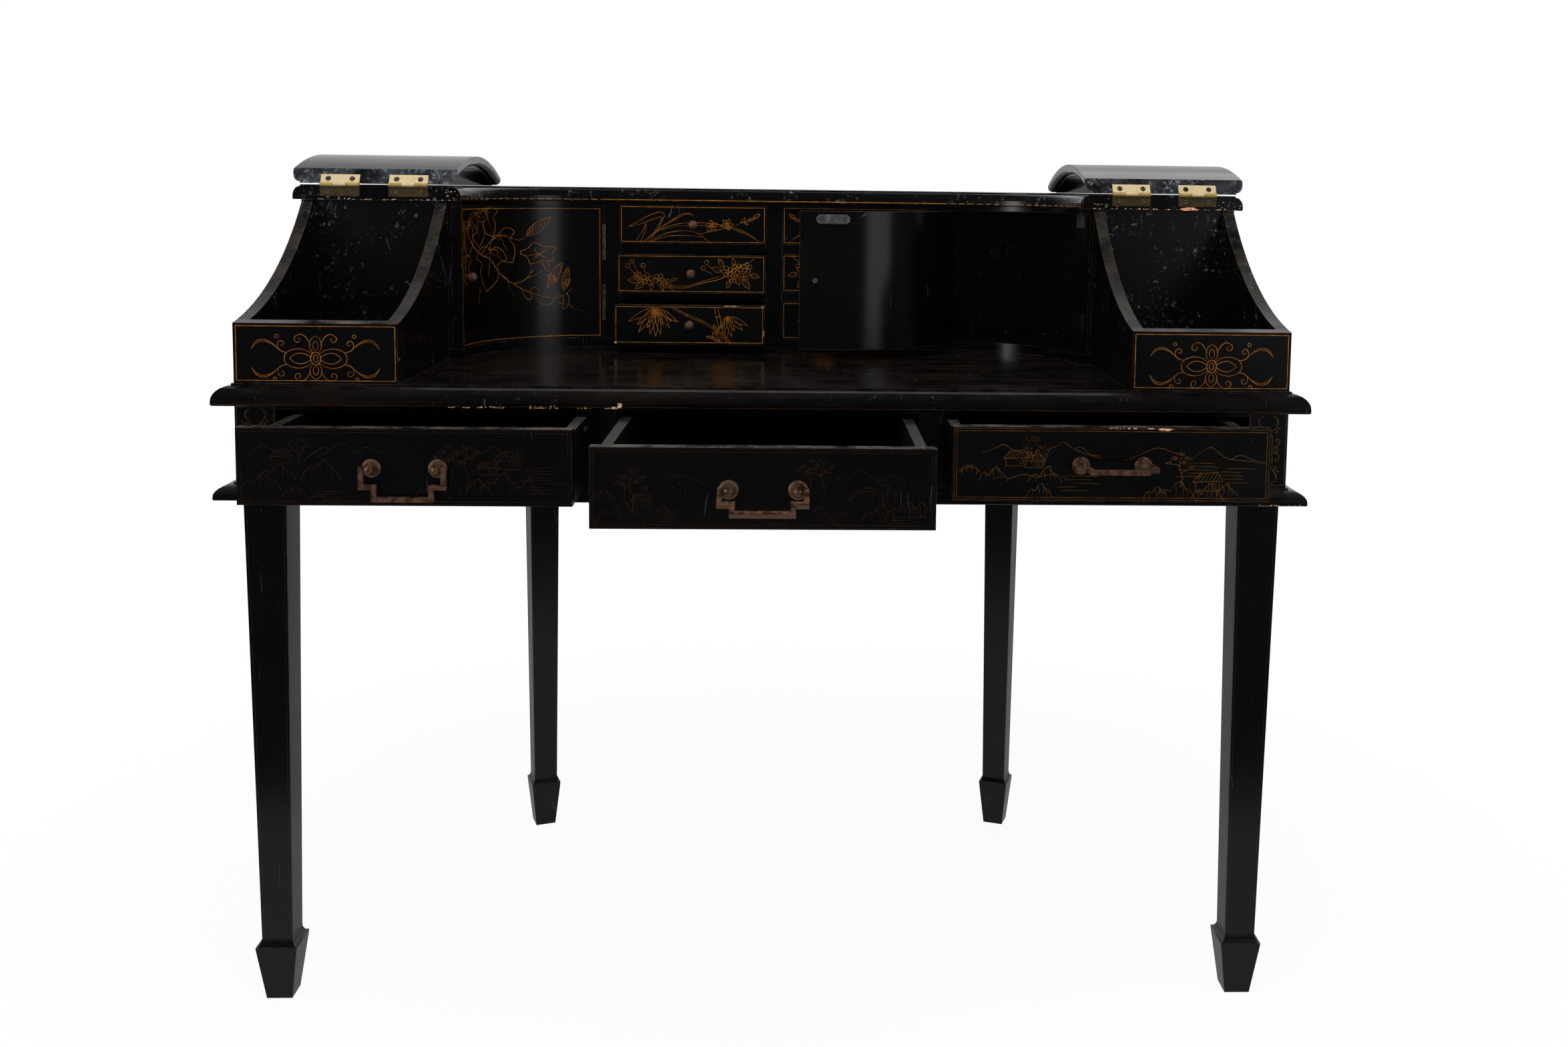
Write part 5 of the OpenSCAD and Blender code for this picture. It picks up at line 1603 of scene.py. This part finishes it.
@dataclass
class Studio:
    """Camera, floor, world and lamps."""

    eye: tuple[float, float, float] = (0.0310, -2.0058, 1.0209)
    yaw: float = -2.109
    pitch: float = 5.592
    roll: float = 0.751
    lens: float = 35.295
    shift: Point = (-0.0426, -0.1209)
    floor_front: float = -0.75
    floor_reach: float = 6.0
    floor_z: float = -0.0004

    def build(self) -> None:
        """Sets up everything round the desk."""
        self._camera()
        self._floor()
        self._world()
        self._lamp("key_softbox", (1.75, -1.75, 1.15), (0.0, 0.1, 0.85), (1.0, 1.7), 4)
        self._lamp("top_softbox", (0.0, -1.0, 3.1), (0.0, 0.1, 0.7), (2.2, 1.2), 50, mirrored=False)
        self._lamp("left_softbox", (-2.3, -1.2, 1.3), (0.0, 0.1, 0.7), (0.6, 1.6), 12)
        self._lamp("back_softbox", (0.3, 2.4, 2.6), (0.0, 0.2, 0.6), (2.4, 1.2), 6)
        bpy.context.scene.view_settings.view_transform = "Standard"

    def _camera(self) -> None:
        """Adds the camera at the photograph's place."""
        data = bpy.data.cameras.new("camera")
        data.sensor_width = 36.0
        data.lens = self.lens
        data.shift_x, data.shift_y = self.shift
        camera = linked("camera", data)
        turns = ((self.yaw, "Z"), (90 - self.pitch, "X"), (self.roll, "Z"))
        yaw, tilt, roll = (Matrix.Rotation(math.radians(angle), 4, axis) for angle, axis in turns)
        camera.matrix_world = Matrix.Translation(self.eye) @ (yaw @ tilt @ roll)
        bpy.context.scene.camera = camera

    def _floor(self) -> None:
        """Adds a white floor that keeps a soft shadow."""
        mesh = bpy.data.meshes.new("floor")
        front, far, z = self.floor_front, self.floor_reach, self.floor_z
        mesh.from_pydata([(-far, front, z), (far, front, z), (far, far, z), (-far, far, z)], [], [(0, 1, 2, 3)])
        material = bpy.data.materials.new("white_paper_floor")
        material.use_nodes = True
        m = Mask(material.node_tree)
        paper = m.add("BsdfDiffuse", {"Color": m.colour(m.noise(700, 2), "fbfbfa", "ffffff")})
        # polished faces see the paper grey
        shade = m.colour(m.add("LightPath", {}, "Is Glossy Ray"), "ffffff", "949494")
        glow = m.add("Emission", {"Color": shade, "Strength": 1.0})
        # the paper glows fully away from the desk, so that it has no end in the picture
        away = m.add("VectorMath", {0: m.place, 1: (0.0, 0.1, 0.0)}, "Value", operation="DISTANCE")
        amount = m.times(m.most(*self._rays(m)), m.ramp(away, 0.7, 1.5, 1.0, bottom=0.94))
        both = m.add("MixShader", {0: amount, 1: paper, 2: glow})
        add_node(m.tree, "ShaderNodeOutputMaterial", {"Surface": both})
        mesh.materials.append(material)
        linked("floor", mesh)

    @staticmethod
    def _rays(m: Mask) -> tuple[NodeSocket, NodeSocket]:
        """Gives 1 for camera rays, and 1 for glossy and transmission rays."""
        path = add_node(m.tree, "ShaderNodeLightPath").outputs
        return path["Is Camera Ray"], m.most(path["Is Glossy Ray"], path["Is Transmission Ray"])

    def _world(self) -> None:
        """Adds a white room behind the desk and a dim one in front of it, with an even light from all round."""
        world = bpy.data.worlds.new("studio")
        bpy.context.scene.world = world
        world.use_nodes = True
        m = Mask(world.node_tree, "Generated")
        camera, mirror = self._rays(m)
        behind = m.ramp(m.add("SeparateXYZ", {0: m.place}, "Y"), 0.25, 0.95, 0.6)
        # a mirror in front sees a dim room; matt surfaces get an even light
        room = m.colour(mirror, "b4b2ae", "3a3a3b")
        colour = m.colour(m.most(camera, m.times(mirror, behind)), room, "ffffff")
        back = m.add("Background", {"Color": colour, "Strength": 1.0})
        add_node(m.tree, "ShaderNodeOutputWorld", {"Surface": back})

    @staticmethod
    def _lamp(name: str, place: tuple, aim: tuple, size: Point, watts: float, mirrored: bool = True) -> None:
        """Adds one rectangular softbox aimed at a point, seen in polished faces or not."""
        data = bpy.data.lights.new(name, "AREA")
        data.shape = "RECTANGLE"
        data.size, data.size_y = size
        data.energy = watts
        lamp = linked(name, data)
        lamp.visible_glossy = mirrored
        way = Vector(aim) - Vector(place)
        lamp.matrix_world = Matrix.Translation(place) @ way.to_track_quat("-Z", "Y").to_matrix().to_4x4()


# the CAD pieces' finishes


@dataclass
class Woodwork:
    """Gives every CAD node its finish."""

    palette: Palette

    def dress(self, nodes: dict[str, Object]) -> None:
        """Puts a material on each node.

        Args:
            nodes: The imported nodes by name.
        """
        p = self.palette
        by_start = (
            (p.deck, "desk_top"),
            (p.moulding, "base_moulding"),
            (p.rims, "bin_outer_walls", "bin_inner_walls"),
            (p.handled_and_top_lit, "bin_fronts"),
            (p.dusty, "bin_backs"),
            (p.board, "gallery_top"),
            (p.dusty, "gallery_back"),
            (p.painted_shade_hinge, "lid_hinge_board_leaves"),
            (p.hinge, "lid_hinge_leaves"),
            (p.upright_hinge, "door_hinge"),
            (p.steel, "strike_plate", "door_catches"),
            (p.lids, "lid_"),
            (p.knob, "door_knob", "small_knob"),
            (p.post, "pull_posts"),
            (p.bail, "pull_bail"),
            (p.handled_and_top_lit, "drawer_front", "small_drawer"),
            (p.handled_and_top_lit_wood, "drawer_box"),
            (p.drawer_wood, "drawer_runners"),
            (p.polished, ""),
        )
        for name, node in nodes.items():
            finish = next(f for f, *starts in by_start if name.startswith(tuple(starts)))
            node.data.materials.clear()
            node.data.materials.append(finish)
            LOG.info("dressed %s in %s", name, finish.name)


def main() -> None:
    """Loads the frame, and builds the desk's dress and its studio."""
    logging.basicConfig(level=logging.INFO, format="%(message)s")
    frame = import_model()
    palette = Palette()
    Studio().build()
    Woodwork(palette).dress(frame["nodes"])
    painter = Painter(palette)
    doors = CurvedDoors()
    for sub_assembly in (BinFronts(), doors, SmallDrawers(), FriezeDrawers(), LegBlocks(), RuledLines()):
        sub_assembly.paint(painter)
    Hinges().fit(palette, doors)
    Damage().show(palette)


if __name__ == "__main__":
    main()
